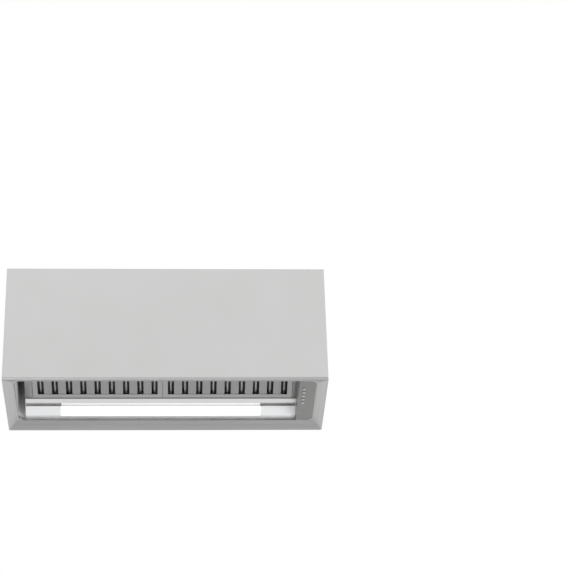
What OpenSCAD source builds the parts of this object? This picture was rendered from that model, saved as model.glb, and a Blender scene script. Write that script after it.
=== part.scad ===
// Undermount range hood, seen from its own frame: X to the right, Y to the wall, Z up.
// The origin is at the middle of the footprint, level with the bottom of the steel lip.

/* [Casing] */
// Width of the hood
hood_w = 900; // [760:10:1200]
// Depth of the hood
hood_d = 300; // [290:5:360]
// Height of the casing, without the duct collar
hood_h = 360; // [320:5:520]
// Thickness of the painted sheet
case_t = 1; // [0.8:0.1:1.5]
// Width of each leg of the corner posts
post_w = 15; // [12:1:18]
// Thickness of the corner posts
post_t = 1.2; // [0.8:0.1:2]

/* [Rim] */
// Height of the steel lip under the painted case
lip_h = 8; // [5:1:12]
// Width of the bevel at the left and right
rim_side_w = 29; // [26:1:36]
// Width of the bevel at the front and rear
rim_end_w = 35; // [32:1:40]
// Rise of the bevel from the lip to the opening
rim_rise = 14; // [12:1:20]
// Height of the polished flange above the opening's edge
rim_flange_h = 11; // [8:1:16]
// Thickness of the rim sheet
rim_t = 1.2; // [0.8:0.1:1.4]
// Corner radius of the opening
opening_r = 18; // [10:1:24]

/* [Recess] */
// Thickness of the liner sheets
liner_t = 1; // [0.8:0.1:1.5]
// Thickness of the shelf
shelf_t = 1.2; // [1:0.1:2]
// Dark gap between the left liner and the filter carrier
left_gap = 20; // [14:1:30]

/* [Filters] */
// Gap between the front liner and a filter as it swings
swing_gap = 8; // [6:0.5:12]
// Thickness of a filter
filter_thick = 36; // [30:1:37]
// Slope of the filters, low at the rear
filter_tilt = 16; // [12:1:18]
// Thickness of the filter frame's sheet
frame_t = 1; // [0.8:0.1:1.2]
// Width of the frame's lower lip at each side
side_rail_w = 14; // [10:1:18]
// Width of the frame's lower lip at the front and rear
end_rail_w = 14; // [11:1:18]
// Slots in each filter
slot_count = 9; // [5:1:10]
// Width of a slot
slot_w = 17.3; // [12:0.1:18]
// Thickness of the baffles
baffle_t = 0.8; // [0.6:0.1:1]
// Height of a lower baffle's side walls
baffle_h = 12; // [8:1:14]
// Running gap between the filters and beside them
filter_gap = 1; // [0.6:0.1:1.5]
// Width of the filler strip at the left
left_filler_w = 21; // [14:1:30]
// Width of the filler strip at the right
right_filler_w = 11; // [8:1:20]
// Radius of the rod that the filters hang from
rod_r = 2.5; // [2:0.1:2.6]
// Wire radius of the filter handles
wire_r = 2; // [1.5:0.1:2.2]
// Width of a handle between its legs
handle_w = 84; // [60:1:120]
// Drop of a handle below its pivots
handle_drop = 26; // [20:1:34]

/* [Light] */
// Slope of the light and grease channel face
light_tilt = 48; // [45:1:50]
// Distance of the light's lower edge from the rear edge of the opening
light_back = 9; // [9:0.5:12]
// Height of the diffuser along the slope
diffuser_w = 26.8; // [22:0.1:28]
// Thickness of the diffuser
diffuser_t = 3; // [2:0.1:4]
// Height of the groove with the narrow light strip
groove_w = 8.5; // [6:0.1:9]
// Height of the grease channel's face
channel_face_w = 12; // [10:0.1:12.4]
// Depth of the light housing
light_depth = 12; // [10.5:0.1:12]
// Length of the lit part
lit_l = 570; // [300:5:640]
// Thickness of the light housing's sheet
light_t = 1; // [0.8:0.1:1.2]
// Number of LEDs
led_count = 24; // [8:1:40]

/* [Controls] */
// Width of the control panel
control_w = 48; // [44:1:60]
// Diameter of a button
button_d = 9; // [6:0.5:11]
// Spacing of the buttons
button_pitch = 20; // [16:0.5:24]
// Place of the first button behind the front of the hood
button_front = 80; // [66:1:90]
// Place of the buttons right of the panel's left edge
button_inset = 15; // [13:0.5:18]
// How far the buttons stand below the panel
button_proud = 2; // [1.6:0.1:3]
// Travel of a button
button_travel = 1.5; // [0.8:0.1:1.5]

/* [Duct] */
// Outer radius of the duct collar
duct_r = 75; // [62:0.5:80]
// Wall of the duct collar
duct_t = 1.2; // [1:0.1:2]
// Height of the collar above the casing
duct_h = 45; // [36:1:60]
// Width of the collar's flange
duct_flange_w = 18; // [16:0.5:22]
// Thickness of the collar's flange
duct_flange_t = 1.5; // [1:0.1:2]
// Thickness of the collar's gasket
gasket_t = 2; // [1:0.1:3]
// Radius of the damper axle
axle_r = 2; // [1.5:0.1:2.2]
// Thickness of the damper flaps
flap_t = 0.8; // [0.6:0.1:1.2]

/* [Fixing] */
// Distance of the fixing holes from the sides
fix_inset_x = 60; // [50:1:120]
// Distance of the fixing holes from the front and rear
fix_inset_y = 40; // [32:1:55]
// Radius of the fixing holes
fix_hole_r = 3.5; // [2.5:0.1:4.5]
// Radius of the bore of the cable gland
gland_bore_r = 4; // [3:0.1:5]

/* [Hidden] */
$fn = 48;
// Every cut runs past the face it opens by this much
overrun = 1;
// Clearance round pins and shafts, and round screws and cables in their holes
pin_clear = 0.1;
hole_clear = 0.3;
// Places that are worked out with angles are rounded to this grid
grid = 0.01;
function snap(v) = grid * round(v / grid);

// Casing
half_w = hood_w / 2;
half_d = hood_d / 2;
in_x = half_w - case_t;
in_y = half_d - case_t;
top_z = hood_h - case_t;

// Rim: half sizes of the opening, and the heights of its flange and of the tab inside the panels
open_x = half_w - rim_side_w;
open_y = half_d - rim_end_w;
rim_top = rim_rise + rim_flange_h;
rim_tab_h = 12;
tab_top = lip_h + rim_tab_h;

// Liners: they lap the outside of the rim's flange
liner_in = rim_t;
liner_out = rim_t + liner_t;
liner_gap = 0.5;
liner_z = rim_rise + rim_t + liner_gap;

// The filters, the carrier and the light share these ends
unit_x0 = left_gap - open_x;
unit_x1 = open_x - control_w;
unit_mid = (unit_x0 + unit_x1) / 2;

// Light, worked out on its slope from its lower edge upwards
light_y = open_y - light_back;
light_z = rim_top;
groove_at = diffuser_w + light_t;
upper_wall_at = groove_at + groove_w;
channel_at = upper_wall_at + light_t;
channel_end = channel_at + channel_face_w;
channel_t = 1;
channel_floor_l = 16;
channel_lip_h = 4;
strip_t = 2;
strip_back = 5;
strip_rest = 4;
led_board_t = 1.6;
led_board_w = 12;
led_size = 3.5;
led_h = 0.8;
cap_t = 1.2;
lit_x0 = unit_mid - lit_l / 2;
lit_x1 = unit_mid + lit_l / 2;

// Filters: their frame of reference lies at the rear edge of the lower face
filter_back = 1.4;
filter_up = 1.8;
filter_y = snap(light_y - channel_end * cos(light_tilt) - filter_back);
filter_z = snap(light_z + channel_end * sin(light_tilt) + filter_up);
rod_cover = 2.5;
pivot_in = frame_t + rod_r + rod_cover;
pivot_y = filter_y - pivot_in * cos(filter_tilt) + pivot_in * sin(filter_tilt);
swing_r = pivot_y + open_y - swing_gap;
filter_l = snap(pivot_in + sqrt(swing_r * swing_r - (filter_thick - pivot_in) * (filter_thick - pivot_in)));
bay_x0 = unit_x0 + left_filler_w;
bay_x1 = unit_x1 - right_filler_w;
filter_w = (bay_x1 - bay_x0 - 3 * filter_gap) / 2;
left_filter_x = bay_x0 + filter_gap;
right_filter_x = left_filter_x + filter_w + filter_gap;
baffle_w = (filter_w - 2 * side_rail_w - slot_count * slot_w) / (slot_count - 1);
baffle_pitch = baffle_w + slot_w;
upper_lip_w = 9;
fit_gap = 0.3;
trough_lap = 5;
trough_w = slot_w + 2 * trough_lap;
rod_gap = 1.5;
crest_w = 4;
crest_z = pivot_in + rod_r + rod_gap;
drain_w = 12;
drain_h = 4;

// Handles and their clips, under the front rail of each filter
clip_w = 8;
clip_l = 10;
clip_h = 8;
clip_wall = 1.5;
clip_drop = wire_r + clip_wall + 1;
clip_in = 7;
bend_r = 6;
stub_past = 1;
handle_y = -(filter_l - clip_in);

// Carrier: a bent sheet frame that hangs under the shelf
carrier_t = 1.2;
carrier_back = 5;
carrier_lift = 2;
carrier_rise = 40;
carrier_reach = 8;
carrier_hold = 18;
carrier_leg = 6;
carrier_flange_w = 10;
magnet_r = 8;
magnet_t = 6;
magnet_gap = 0.4;
magnet_share = 0.3;
carrier_z = filter_thick + magnet_gap + magnet_t;
rod_head_r = 4.5;
rod_head_t = 2;

// A place on the filters' slope, turned into the hood's own frame
function on_slope(y, z) = [
    filter_y + y * cos(filter_tilt) + z * sin(filter_tilt),
    filter_z - y * sin(filter_tilt) + z * cos(filter_tilt)
];

carrier_front = on_slope(-filter_l - carrier_reach, carrier_z + carrier_t);
carrier_rear = on_slope(carrier_back + carrier_t, carrier_rise);
shelf_z = snap(carrier_front[1] + carrier_leg);
shelf_top = shelf_z + shelf_t;

// Controls
control_t = 1.2;
control_side_h = 104;
guide_h = 6;
guide_wall = 5;
button_r = button_d / 2;
button_flange_r = button_r + 1.5;
button_flange_t = 1.5;
guide_reach = button_flange_r + guide_wall;
button_x = unit_x1 + button_inset;
button_y0 = button_front - half_d;
guide_z = rim_rise + control_t;
guide_top = guide_z + guide_h;
board_t = 1.6;
board_margin = 8;
switch_size = 6;
switch_h = 3.5;
switch_gap = button_travel + hole_clear;
switch_z = guide_top + button_flange_t + switch_gap;
board_z = switch_z + switch_h;
post_r = 2.5;
connector = [8, 10, 6];

// Duct collar and its damper
duct_in = duct_r - duct_t;
collar_z = hood_h + gasket_t;
axle_up = 12;
axle_z = collar_z + axle_up;
stop_w = 4;
stop_t = 1.5;
flap_gap = 0.8;
flap_r = duct_in - flap_gap;
knuckle_r = 3.5;
knuckle_l = 18;
knuckle_shares = [-0.7, 0.4];
collar_screw_share = 0.6;

// Screws and rivets
screw_r = 1.9;
screw_head_r = 3.6;
screw_head_h = 2.2;
screw_l = 8;
rivet_r = 1.6;
rivet_head_r = 3.2;
rivet_head_h = 1;

// Electrics on the shelf, and the gland above them
box_w = 56;
box_h = 46;
box_wall = 1.2;
box_side_gap = 2;
box_y0 = -5;
box_l = 115;
lid_t = 1.2;
terminal = [30, 44, 14];
terminal_gap = 10;
driver_w = 50;
driver_h = 30;
driver_l = 75;
driver_gap = 30;
cable_r = 2.2;
cable_bend_r = 6;
cable_lead = 15;
led_cable_in = 53;
control_cable_in = 39;
plug_back = 7;
gland_r = 11;
gland_h = 8;
gland_dome_h = 9;
thread_r = 8;
thread_l = 12;
gland_nut_r = 12;
gland_nut_h = 4;
gland_in = 30;
gland_y = 60;
box_x1 = in_x - box_side_gap;
box_x0 = box_x1 - box_w;
fixing_plate_w = 40;
fixing_plate_t = 2;
fix_x = half_w - fix_inset_x;
fix_y = half_d - fix_inset_y;

// Colours as the photograph shows them
case_colour = "#CFCFCF";
steel_colour = "#B4B4B4";
baffle_colour = "#949494";
dark_steel = "#696969";
galvanised = "#A9ADAF";
black_plastic = "#26282A";

// A block between two opposite corners
module block(a, b) translate(a) cube(b - a);

// A flat shape in Y and Z, drawn out along X
module along_x(x0, x1) translate([x0, 0, 0]) rotate([90, 0, 90]) linear_extrude(x1 - x0) children();

// A flat shape in X and Z, drawn out along Y
module along_y(y0, y1) translate([0, y1, 0]) rotate([90, 0, 0]) linear_extrude(y1 - y0) children();

// A round bar between two heights, or along X
module bar_z(x, y, z0, z1, r) translate([x, y, z0]) cylinder(h = z1 - z0, r = r);
module bar_x(x0, x1, y, z, r) translate([x0, y, z]) rotate([0, 90, 0]) cylinder(h = x1 - x0, r = r);

// The slopes of the filters and of the light
module on_filter() translate([0, filter_y, filter_z]) rotate([-filter_tilt, 0, 0]) children();
module on_light() translate([0, light_y, light_z]) rotate([-light_tilt, 0, 0]) children();

// The opening in the underside, grown outwards and between two heights
module opening(grow, z0, z1) {
    x = open_x + grow;
    y = open_y + grow;
    r = opening_r + grow;
    block([r - x, -y, z0], [x - r, y, z1]);
    block([-x, r - y, z0], [x, y - r, z1]);
    for (sx = [-1, 1], sy = [-1, 1]) bar_z(sx * (x - r), sy * (y - r), z0, z1, r);
}

// The hollow under the bevel: a block with four sloping sides
module bevel_hollow() {
    intersection() {
        along_x(-half_w, half_w) polygon([
            [rim_t - half_d, 0], [-open_y, rim_rise], [open_y, rim_rise], [half_d - rim_t, 0]
        ]);
        along_y(-half_d, half_d) polygon([
            [rim_t - half_w, 0], [-open_x, rim_rise], [open_x, rim_rise], [half_w - rim_t, 0]
        ]);
    }
}

// A ring of sheet inside the casing's outline
module outline_ring(inset, wall, z0, z1) {
    x = half_w - inset;
    y = half_d - inset;
    difference() {
        block([-x, -y, z0], [x, y, z1]);
        block([wall - x, wall - y, z0 - overrun], [x - wall, y - wall, z1 + overrun]);
    }
}

// Stainless frame of the underside: lip, bevel, flange round the opening and tab inside the panels
module rim_frame() {
    color(steel_colour) difference() {
        union() {
            outline_ring(0, rim_t, 0, lip_h);
            outline_ring(case_t, rim_t, 0, tab_top);
            translate([0, 0, rim_t]) bevel_hollow();
            opening(rim_t, 0, rim_top);
        }
        bevel_hollow();
        block([rim_t - half_w, rim_t - half_d, -overrun], [half_w - rim_t, half_d - rim_t, 0]);
        opening(0, 0, rim_top + overrun);
        rivet_places() bar_z(0, 0, -liner_out - overrun, overrun, rivet_r + pin_clear);
    }
}

// The two long panels run the whole width, and the short ones fit between them
module long_panel(y) {
    color(case_colour) block([-half_w, y, lip_h], [half_w, y + case_t, top_z]);
}

module short_panel(x) {
    color(case_colour) block([x, -in_y, lip_h], [x + case_t, in_y, top_z]);
}

module front_panel() long_panel(-half_d);
module rear_panel() long_panel(in_y);
module left_side_panel() short_panel(-half_w);
module right_side_panel() short_panel(in_x);

// Places of the fixing holes, the top screws and the collar screws
module fixing_places() for (sx = [-1, 1], sy = [-1, 1]) translate([sx * fix_x, sy * fix_y, 0]) children();

module top_screw_places() {
    inset = (post_w + post_t) / 2;
    for (sx = [-1, 1], sy = [-1, 1]) translate([sx * (in_x - inset), sy * (in_y - inset), 0]) children();
}

module collar_screw_places() {
    reach = (duct_r + duct_flange_w * collar_screw_share) * sin(45);
    for (sx = [-1, 1], sy = [-1, 1]) translate([sx * reach, sy * reach, 0]) children();
}

module gland_place() translate([in_x - gland_in, gland_y, 0]) children();

module top_panel() {
    color(case_colour) difference() {
        block([-half_w, -half_d, top_z], [half_w, half_d, hood_h]);
        bar_z(0, 0, top_z - overrun, hood_h + overrun, duct_in);
        fixing_places() bar_z(0, 0, top_z - overrun, hood_h + overrun, fix_hole_r);
        top_screw_places() bar_z(0, 0, top_z - overrun, hood_h + overrun, screw_r + pin_clear);
        collar_screw_places() bar_z(0, 0, top_z - overrun, hood_h + overrun, screw_r + pin_clear);
        gland_place() bar_z(0, 0, top_z - overrun, hood_h + overrun, thread_r + pin_clear);
    }
}

// Four angle posts with a tab at the top that takes a screw
module corner_posts() {
    color(galvanised) for (sx = [-1, 1], sy = [-1, 1]) scale_to_corner(sx, sy) difference() {
        block([0, 0, tab_top], [post_w, post_w, top_z]);
        block([post_t, post_t, tab_top - overrun], [post_w + overrun, post_w + overrun, top_z - post_t]);
        translate([(post_w + post_t) / 2, (post_w + post_t) / 2, 0])
            bar_z(0, 0, top_z - post_t - overrun, top_z + overrun, screw_r + pin_clear);
    }
}

// Turns a corner piece drawn inwards from the origin into each inner corner of the casing
module scale_to_corner(sx, sy) {
    translate([sx * in_x, sy * in_y, 0])
        mirror([sx > 0 ? 1 : 0, 0, 0]) mirror([0, sy > 0 ? 1 : 0, 0]) children();
}

// A screw with its head above the origin and its shank below
module screw(length) {
    cylinder(h = screw_head_h, r = screw_head_r);
    bar_z(0, 0, -length, screw_head_h, screw_r);
}

module top_screws() {
    color(steel_colour) top_screw_places() translate([0, 0, hood_h]) screw(screw_l);
}

// Steel plates under the top panel that carry the hood at its fixing holes
module fixing_plates() {
    color(galvanised) fixing_places() difference() {
        block([-fixing_plate_w / 2, -fixing_plate_w / 2, top_z - fixing_plate_t],
            [fixing_plate_w / 2, fixing_plate_w / 2, top_z]);
        bar_z(0, 0, top_z - fixing_plate_t - overrun, top_z + overrun, fix_hole_r);
    }
}

// Places of the screws that hold the carrier's flanges to the shelf
module carrier_screw_places() {
    front = carrier_front[0] - carrier_flange_w / 2;
    rear = carrier_rear[0] + carrier_flange_w / 2;
    for (x = [unit_x0 / 2, unit_mid, unit_x1 / 2], y = [front, rear]) translate([x, y, 0]) children();
}

// Places of the two holes that the inner cables pass
led_cable_x = in_x - led_cable_in;
led_cable_y = box_y0 - cable_lead;
control_cable_x = in_x - control_cable_in;
control_cable_y = box_y0 - plug_back;

// Shelf between the recess and the plenum, open over the filters
module plenum_shelf() {
    corner = post_w + fit_gap;
    color(galvanised) difference() {
        block([-in_x, -in_y, shelf_z], [in_x, in_y, shelf_top]);
        block([unit_x0 + carrier_t, carrier_front[0] + carrier_t, shelf_z - overrun],
            [unit_x1 - carrier_t, carrier_rear[0] - carrier_t, shelf_top + overrun]);
        for (sx = [-1, 1], sy = [-1, 1]) scale_to_corner(sx, sy)
            block([-overrun, -overrun, shelf_z - overrun], [corner, corner, shelf_top + overrun]);
        carrier_screw_places() bar_z(0, 0, shelf_z - overrun, shelf_top + overrun, screw_r + pin_clear);
        bar_z(led_cable_x, led_cable_y, shelf_z - overrun, shelf_top + overrun, cable_r + hole_clear);
        bar_z(control_cable_x, control_cable_y, shelf_z - overrun, shelf_top + overrun,
            cable_r + hole_clear);
    }
}

// Recess walls: two ends with round corners, and flat sheets between them
module liner_ring() {
    difference() {
        opening(liner_out, liner_z, shelf_z);
        opening(liner_in, liner_z - overrun, shelf_z + overrun);
        rivet_places() bar_z(0, 0, -liner_out - overrun, overrun, rivet_r + pin_clear);
    }
}

module liner_part(x0, x1, y0, y1) {
    color(steel_colour) intersection() {
        liner_ring();
        block([x0, y0, 0], [x1, y1, hood_h]);
    }
}

corner_x = open_x - opening_r;
module left_liner() liner_part(-half_w, -corner_x, -half_d, half_d);
module right_liner() liner_part(corner_x, half_w, -half_d, half_d);
module front_liner() liner_part(-corner_x, corner_x, -half_d, 0);
module rear_liner() liner_part(-corner_x, corner_x, 0, half_d);

// Pop rivets through liner and flange, along the front: each points from the recess to the outside
rivet_count = 5;
module rivet_places() {
    z = (liner_z + rim_top) / 2;
    step = 2 * corner_x / rivet_count;
    for (i = [0:rivet_count - 1]) translate([(i + 0.5) * step - corner_x, -open_y, z])
        rotate([-90, 0, 0]) children();
}

module liner_rivets() {
    color(steel_colour) rivet_places() {
        cylinder(h = rivet_head_h, r = rivet_head_r);
        bar_z(0, 0, -liner_out, rivet_head_h, rivet_r);
        bar_z(0, 0, -liner_out - rivet_head_h, -liner_out, rivet_head_r);
    }
}

// Places of the five buttons, front to rear
button_row = [for (i = [0:4]) button_y0 + i * button_pitch];

// Panel beside the filters: a shallow pan in the opening, with a tall side towards the filters
module control_panel() {
    x = unit_x1;
    color(dark_steel) difference() {
        union() {
            intersection() {
                opening(0, rim_rise, rim_top);
                block([x, -half_d, 0], [half_w, half_d, rim_top]);
            }
            block([x, -open_y, rim_rise], [x + control_t, open_y, rim_rise + control_side_h]);
        }
        intersection() {
            opening(-control_t, guide_z, rim_top + overrun);
            block([x + control_t, -half_d, 0], [half_w, half_d, rim_top + overrun]);
        }
        for (y = button_row) bar_z(button_x, y, rim_rise - overrun, guide_z + overrun,
            button_r + hole_clear);
        light_cable_cut();
    }
}

// The hole that the light's cable takes from the control panel's side into the end cap
cable_t = groove_at / 2;
cable_s = light_depth / 2 + 1;
light_cable_y = snap(light_y - cable_t * cos(light_tilt) + cable_s * sin(light_tilt));
light_cable_z = snap(light_z + cable_t * sin(light_tilt) + cable_s * cos(light_tilt));
module light_cable_cut() {
    bar_x(unit_x1 - cap_t - overrun, unit_x1 + control_t + overrun, light_cable_y, light_cable_z,
        cable_r + hole_clear);
}

// Black guide that the buttons slide in, with posts for the board
module button_guide() {
    x0 = unit_x1 + control_t;
    x1 = button_x + guide_reach;
    y0 = button_row[0] - guide_reach;
    y1 = button_row[4] + guide_reach;
    color(black_plastic) difference() {
        union() {
            block([x0, y0, guide_z], [x1, y1, guide_top]);
            for (x = [x0 + post_r, x1 - post_r], y = [y0 + post_r, y1 - post_r])
                bar_z(x, y, guide_z, board_z, post_r);
        }
        for (y = button_row) bar_z(button_x, y, guide_z - overrun, guide_top + overrun,
            button_r + pin_clear);
    }
}

// One push button: a cap through the panel, and a flange that keeps it on its guide
module button(i) {
    color("#DDDDDD") {
        bar_z(button_x, button_row[i], rim_rise - button_proud, guide_top + button_flange_t, button_r);
        bar_z(button_x, button_row[i], guide_top, guide_top + button_flange_t, button_flange_r);
    }
}

module off_button() button(0);
module low_speed_button() button(1);
module medium_speed_button() button(2);
module high_speed_button() button(3);
module light_button() button(4);

// Board above the buttons, with the connector of the control cable on it
module control_board() {
    color("#2E6B45") block([unit_x1 + control_t, button_row[0] - guide_reach, board_z],
        [control_cable_x + board_margin, button_row[4] + guide_reach, board_z + board_t]);
    color("#EEEEE6") translate([control_cable_x, control_cable_y, board_z + board_t])
        block([-connector[0] / 2, -connector[1] / 2, 0], [connector[0] / 2, connector[1] / 2, connector[2]]);
}

// Switch bodies under the board, one over each button
module button_switches() {
    half = switch_size / 2;
    color(black_plastic) for (y = button_row)
        block([button_x - half, y - half, switch_z], [button_x + half, y + half, board_z]);
}

// Frame of one filter: a folded channel all round, open above and below
module filter_frame(x) {
    t = frame_t;
    color(steel_colour) on_filter() translate([x, 0, 0]) difference() {
        block([0, -filter_l, 0], [filter_w, 0, filter_thick]);
        block([t, t - filter_l, t], [filter_w - t, -t, filter_thick - t]);
        block([side_rail_w, end_rail_w - filter_l, -overrun], [filter_w - side_rail_w, -end_rail_w,
            filter_thick / 2]);
        block([upper_lip_w, upper_lip_w - filter_l, filter_thick / 2], [filter_w - upper_lip_w,
            -upper_lip_w, filter_thick + overrun]);
        bar_x(-overrun, filter_w + overrun, -pivot_in, pivot_in, rod_r + pin_clear);
        for (i = [1:slot_count - 2]) translate([side_rail_w + slot_w / 2 + i * baffle_pitch, 0, 0])
            block([-drain_w / 2, -t - overrun, t], [drain_w / 2, overrun, t + drain_h]);
    }
}

// Lower baffles: shallow channels, one between each two slots, lying on the frame's lips
module lower_baffles(x) {
    b = baffle_t;
    color(baffle_colour) on_filter() translate([x, 0, frame_t])
        for (i = [0:slot_count - 2])
            translate([side_rail_w + slot_w + i * baffle_pitch, 0, 0])
                along_y(frame_t + fit_gap - filter_l, -pivot_in - rod_r - rod_gap)
                    difference() {
                        square([baffle_w, baffle_h]);
                        translate([b, b]) square([baffle_w - 2 * b, baffle_h]);
                    }
}

// Upper baffles: a sloping trough over each slot, joined by a plate at both ends
module upper_baffles(x) {
    b = baffle_t;
    top = filter_thick - frame_t;
    front = frame_t - filter_l;
    outline = [[-trough_w / 2, top], [-crest_w / 2, crest_z], [crest_w / 2, crest_z], [trough_w / 2, top]];
    color(baffle_colour) on_filter() translate([x, 0, 0]) {
        for (i = [0:slot_count - 1]) translate([side_rail_w + slot_w / 2 + i * baffle_pitch, 0, 0])
            along_y(front, -frame_t) difference() {
                polygon(outline);
                translate([0, b]) polygon(outline);
            }
        block([frame_t, front, frame_t + baffle_h + fit_gap], [filter_w - frame_t, front + b, top]);
        block([frame_t, -frame_t - b, frame_t + baffle_h + fit_gap], [filter_w - frame_t, -frame_t, top]);
    }
}

// Two clips under the front rail, each with a bore for the handle's end
handle_x = handle_w / 2;
module handle_clips(x) {
    color(steel_colour) on_filter() for (s = [-1, 1])
        translate([x + filter_w / 2 + s * (handle_x + clip_w / 2 + bend_r), handle_y, 0]) difference() {
            block([-clip_w / 2, -clip_l / 2, -clip_h], [clip_w / 2, clip_l / 2, 0]);
            bar_x(-clip_w, clip_w, 0, -clip_drop, wire_r + pin_clear);
        }
}

// Wire handle that hangs from the clips: two ends, two legs and a grip, with round bends
handle_at = on_slope(handle_y, -clip_drop);
module handle(x) {
    leg = handle_drop - 2 * bend_r;
    color(steel_colour) translate([x + filter_w / 2, handle_at[0], handle_at[1]]) {
        for (s = [0, 1]) mirror([s, 0, 0]) {
            bar_x(handle_x + bend_r, handle_x + bend_r + clip_w + stub_past, 0, 0, wire_r);
            translate([handle_x + bend_r, 0, -bend_r]) rotate([90, 0, 0]) wire_bend(90);
            bar_z(handle_x, 0, -bend_r - leg, -bend_r, wire_r);
            translate([handle_x - bend_r, 0, -bend_r - leg]) rotate([90, 0, 0]) wire_bend(270);
        }
        bar_x(bend_r - handle_x, handle_x - bend_r, 0, -handle_drop, wire_r);
    }
}

module wire_bend(from) {
    rotate([0, 0, from]) rotate_extrude(angle = 90) translate([bend_r, 0]) circle(wire_r, $fn = 24);
}

module left_filter_frame() filter_frame(left_filter_x);
module left_lower_baffles() lower_baffles(left_filter_x);
module left_upper_baffles() upper_baffles(left_filter_x);
module left_handle_clips() handle_clips(left_filter_x);
module left_handle() handle(left_filter_x);
module right_filter_frame() filter_frame(right_filter_x);
module right_lower_baffles() lower_baffles(right_filter_x);
module right_upper_baffles() upper_baffles(right_filter_x);
module right_handle_clips() handle_clips(right_filter_x);
module right_handle() handle(right_filter_x);

// A sheet on the filters' slope, between two places across, along and off it
module slope_sheet(x0, x1, y0, y1, z0, z1) {
    along_x(x0, x1) polygon([on_slope(y0, z0), on_slope(y1, z0), on_slope(y1, z1), on_slope(y0, z1)]);
}

// Frame that carries both filters: end walls, filler strips, front rail and rear plate
module filter_carrier() {
    t = carrier_t;
    front = -filter_l - carrier_reach;
    hold = carrier_hold - filter_l;
    end_wall = [
        on_slope(front, 0), on_slope(0, 0), on_slope(carrier_back + t, carrier_lift), carrier_rear,
        [carrier_rear[0], shelf_z], [carrier_front[0], shelf_z], carrier_front
    ];
    front_rail = [
        on_slope(front, carrier_z), on_slope(hold, carrier_z), on_slope(hold, carrier_z + t),
        carrier_front + [t, -t * tan(filter_tilt)], [carrier_front[0] + t, shelf_z],
        [carrier_front[0], shelf_z], carrier_front
    ];
    rear_plate = [
        on_slope(carrier_back, carrier_lift), on_slope(carrier_back + t, carrier_lift), carrier_rear,
        [carrier_rear[0], shelf_z], [carrier_rear[0] - t, shelf_z], on_slope(carrier_back, carrier_rise)
    ];
    color(steel_colour) difference() {
        union() {
            along_x(unit_x0, unit_x0 + t) polygon(end_wall);
            along_x(unit_x1 - t, unit_x1) polygon(end_wall);
            along_x(unit_x0, unit_x1) polygon(front_rail);
            along_x(unit_x0, unit_x1) polygon(rear_plate);
            block([unit_x0, carrier_front[0] - carrier_flange_w, shelf_z - t],
                [unit_x1, carrier_front[0] + t, shelf_z]);
            block([unit_x0, carrier_rear[0] - t, shelf_z - t],
                [unit_x1, carrier_rear[0] + carrier_flange_w, shelf_z]);
            slope_sheet(unit_x0, bay_x0, front, 0, 0, t);
            slope_sheet(bay_x0 - t, bay_x0, front, 0, 0, filter_thick);
            slope_sheet(bay_x1, unit_x1, front, 0, 0, t);
            slope_sheet(bay_x1, bay_x1 + t, front, 0, 0, filter_thick);
        }
        on_filter() bar_x(unit_x0 - overrun, unit_x1 + overrun, -pivot_in, pivot_in, rod_r + pin_clear);
        carrier_screw_places() bar_z(0, 0, shelf_z - t - overrun, shelf_z + overrun,
            screw_r + pin_clear);
    }
}

module carrier_screws() {
    color(steel_colour) carrier_screw_places() translate([0, 0, shelf_top]) screw(screw_l);
}

// Steel rod that both filters turn on, with a head at its left end
module filter_rod() {
    color(steel_colour) on_filter() {
        bar_x(unit_x0, unit_x1, -pivot_in, pivot_in, rod_r);
        bar_x(unit_x0 - rod_head_t, unit_x0, -pivot_in, pivot_in, rod_head_r);
    }
}

// Two magnets over the front rail of each filter
module filter_magnets() {
    color(dark_steel) on_filter() for (x = [left_filter_x, right_filter_x], s = [-1, 1])
        bar_z(x + filter_w * (0.5 + s * magnet_share), carrier_hold / 4 - filter_l,
            carrier_z - magnet_t, carrier_z, magnet_r);
}

// Folded housing of the light, with a flange to the rear liner and a window for the narrow strip
light_x0 = unit_x0 + cap_t;
light_x1 = unit_x1 - cap_t;
module light_housing() {
    t = light_t;
    d = light_depth;
    color(galvanised) difference() {
        union() {
            on_light() {
                block([light_x0, 0, 0], [light_x1, t, d]);
                block([light_x0, -channel_at, d - t], [light_x1, t, d]);
                block([light_x0, -groove_at, 0], [light_x1, t - groove_at, d]);
                block([light_x0, -upper_wall_at, strip_back], [light_x1, -groove_at, strip_back + t]);
                block([light_x0, -channel_at, 0], [light_x1, t - channel_at, d]);
            }
            block([light_x0, light_y + 2 * t, rim_top], [light_x1, open_y + liner_in, rim_top + t]);
        }
        on_light() block([lit_x0 + strip_rest, -upper_wall_at, strip_back - overrun],
            [lit_x1 - strip_rest, -groove_at, strip_back + t + overrun]);
    }
}

module light_end_caps() {
    color(galvanised) difference() {
        on_light() for (x = [unit_x0, light_x1])
            block([x, -channel_at, 0], [x + cap_t, light_t, light_depth]);
        light_cable_cut();
    }
}

// Opal diffuser over the whole length, and the narrow strip in the groove above it
module light_diffuser() {
    color("#F6F4EC") on_light() block([light_x0, -diffuser_w, 0], [light_x1, 0, diffuser_t]);
}

module light_strip() {
    color("#F6F4EC") on_light()
        block([lit_x0, -upper_wall_at, strip_back - strip_t], [lit_x1, -groove_at, strip_back]);
}

module led_board() {
    color("#E8E8E0") on_light()
        block([lit_x0, -(diffuser_w + led_board_w) / 2, light_depth - light_t - led_board_t],
            [lit_x1, (led_board_w - diffuser_w) / 2, light_depth - light_t]);
}

module leds() {
    z1 = light_depth - light_t - led_board_t;
    step = lit_l / led_count;
    color("#F2E7A0") on_light() for (i = [0:led_count - 1])
        translate([lit_x0 + (i + 0.5) * step, -diffuser_w / 2, 0])
            block([-led_size / 2, -led_size / 2, z1 - led_h], [led_size / 2, led_size / 2, z1]);
}

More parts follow.
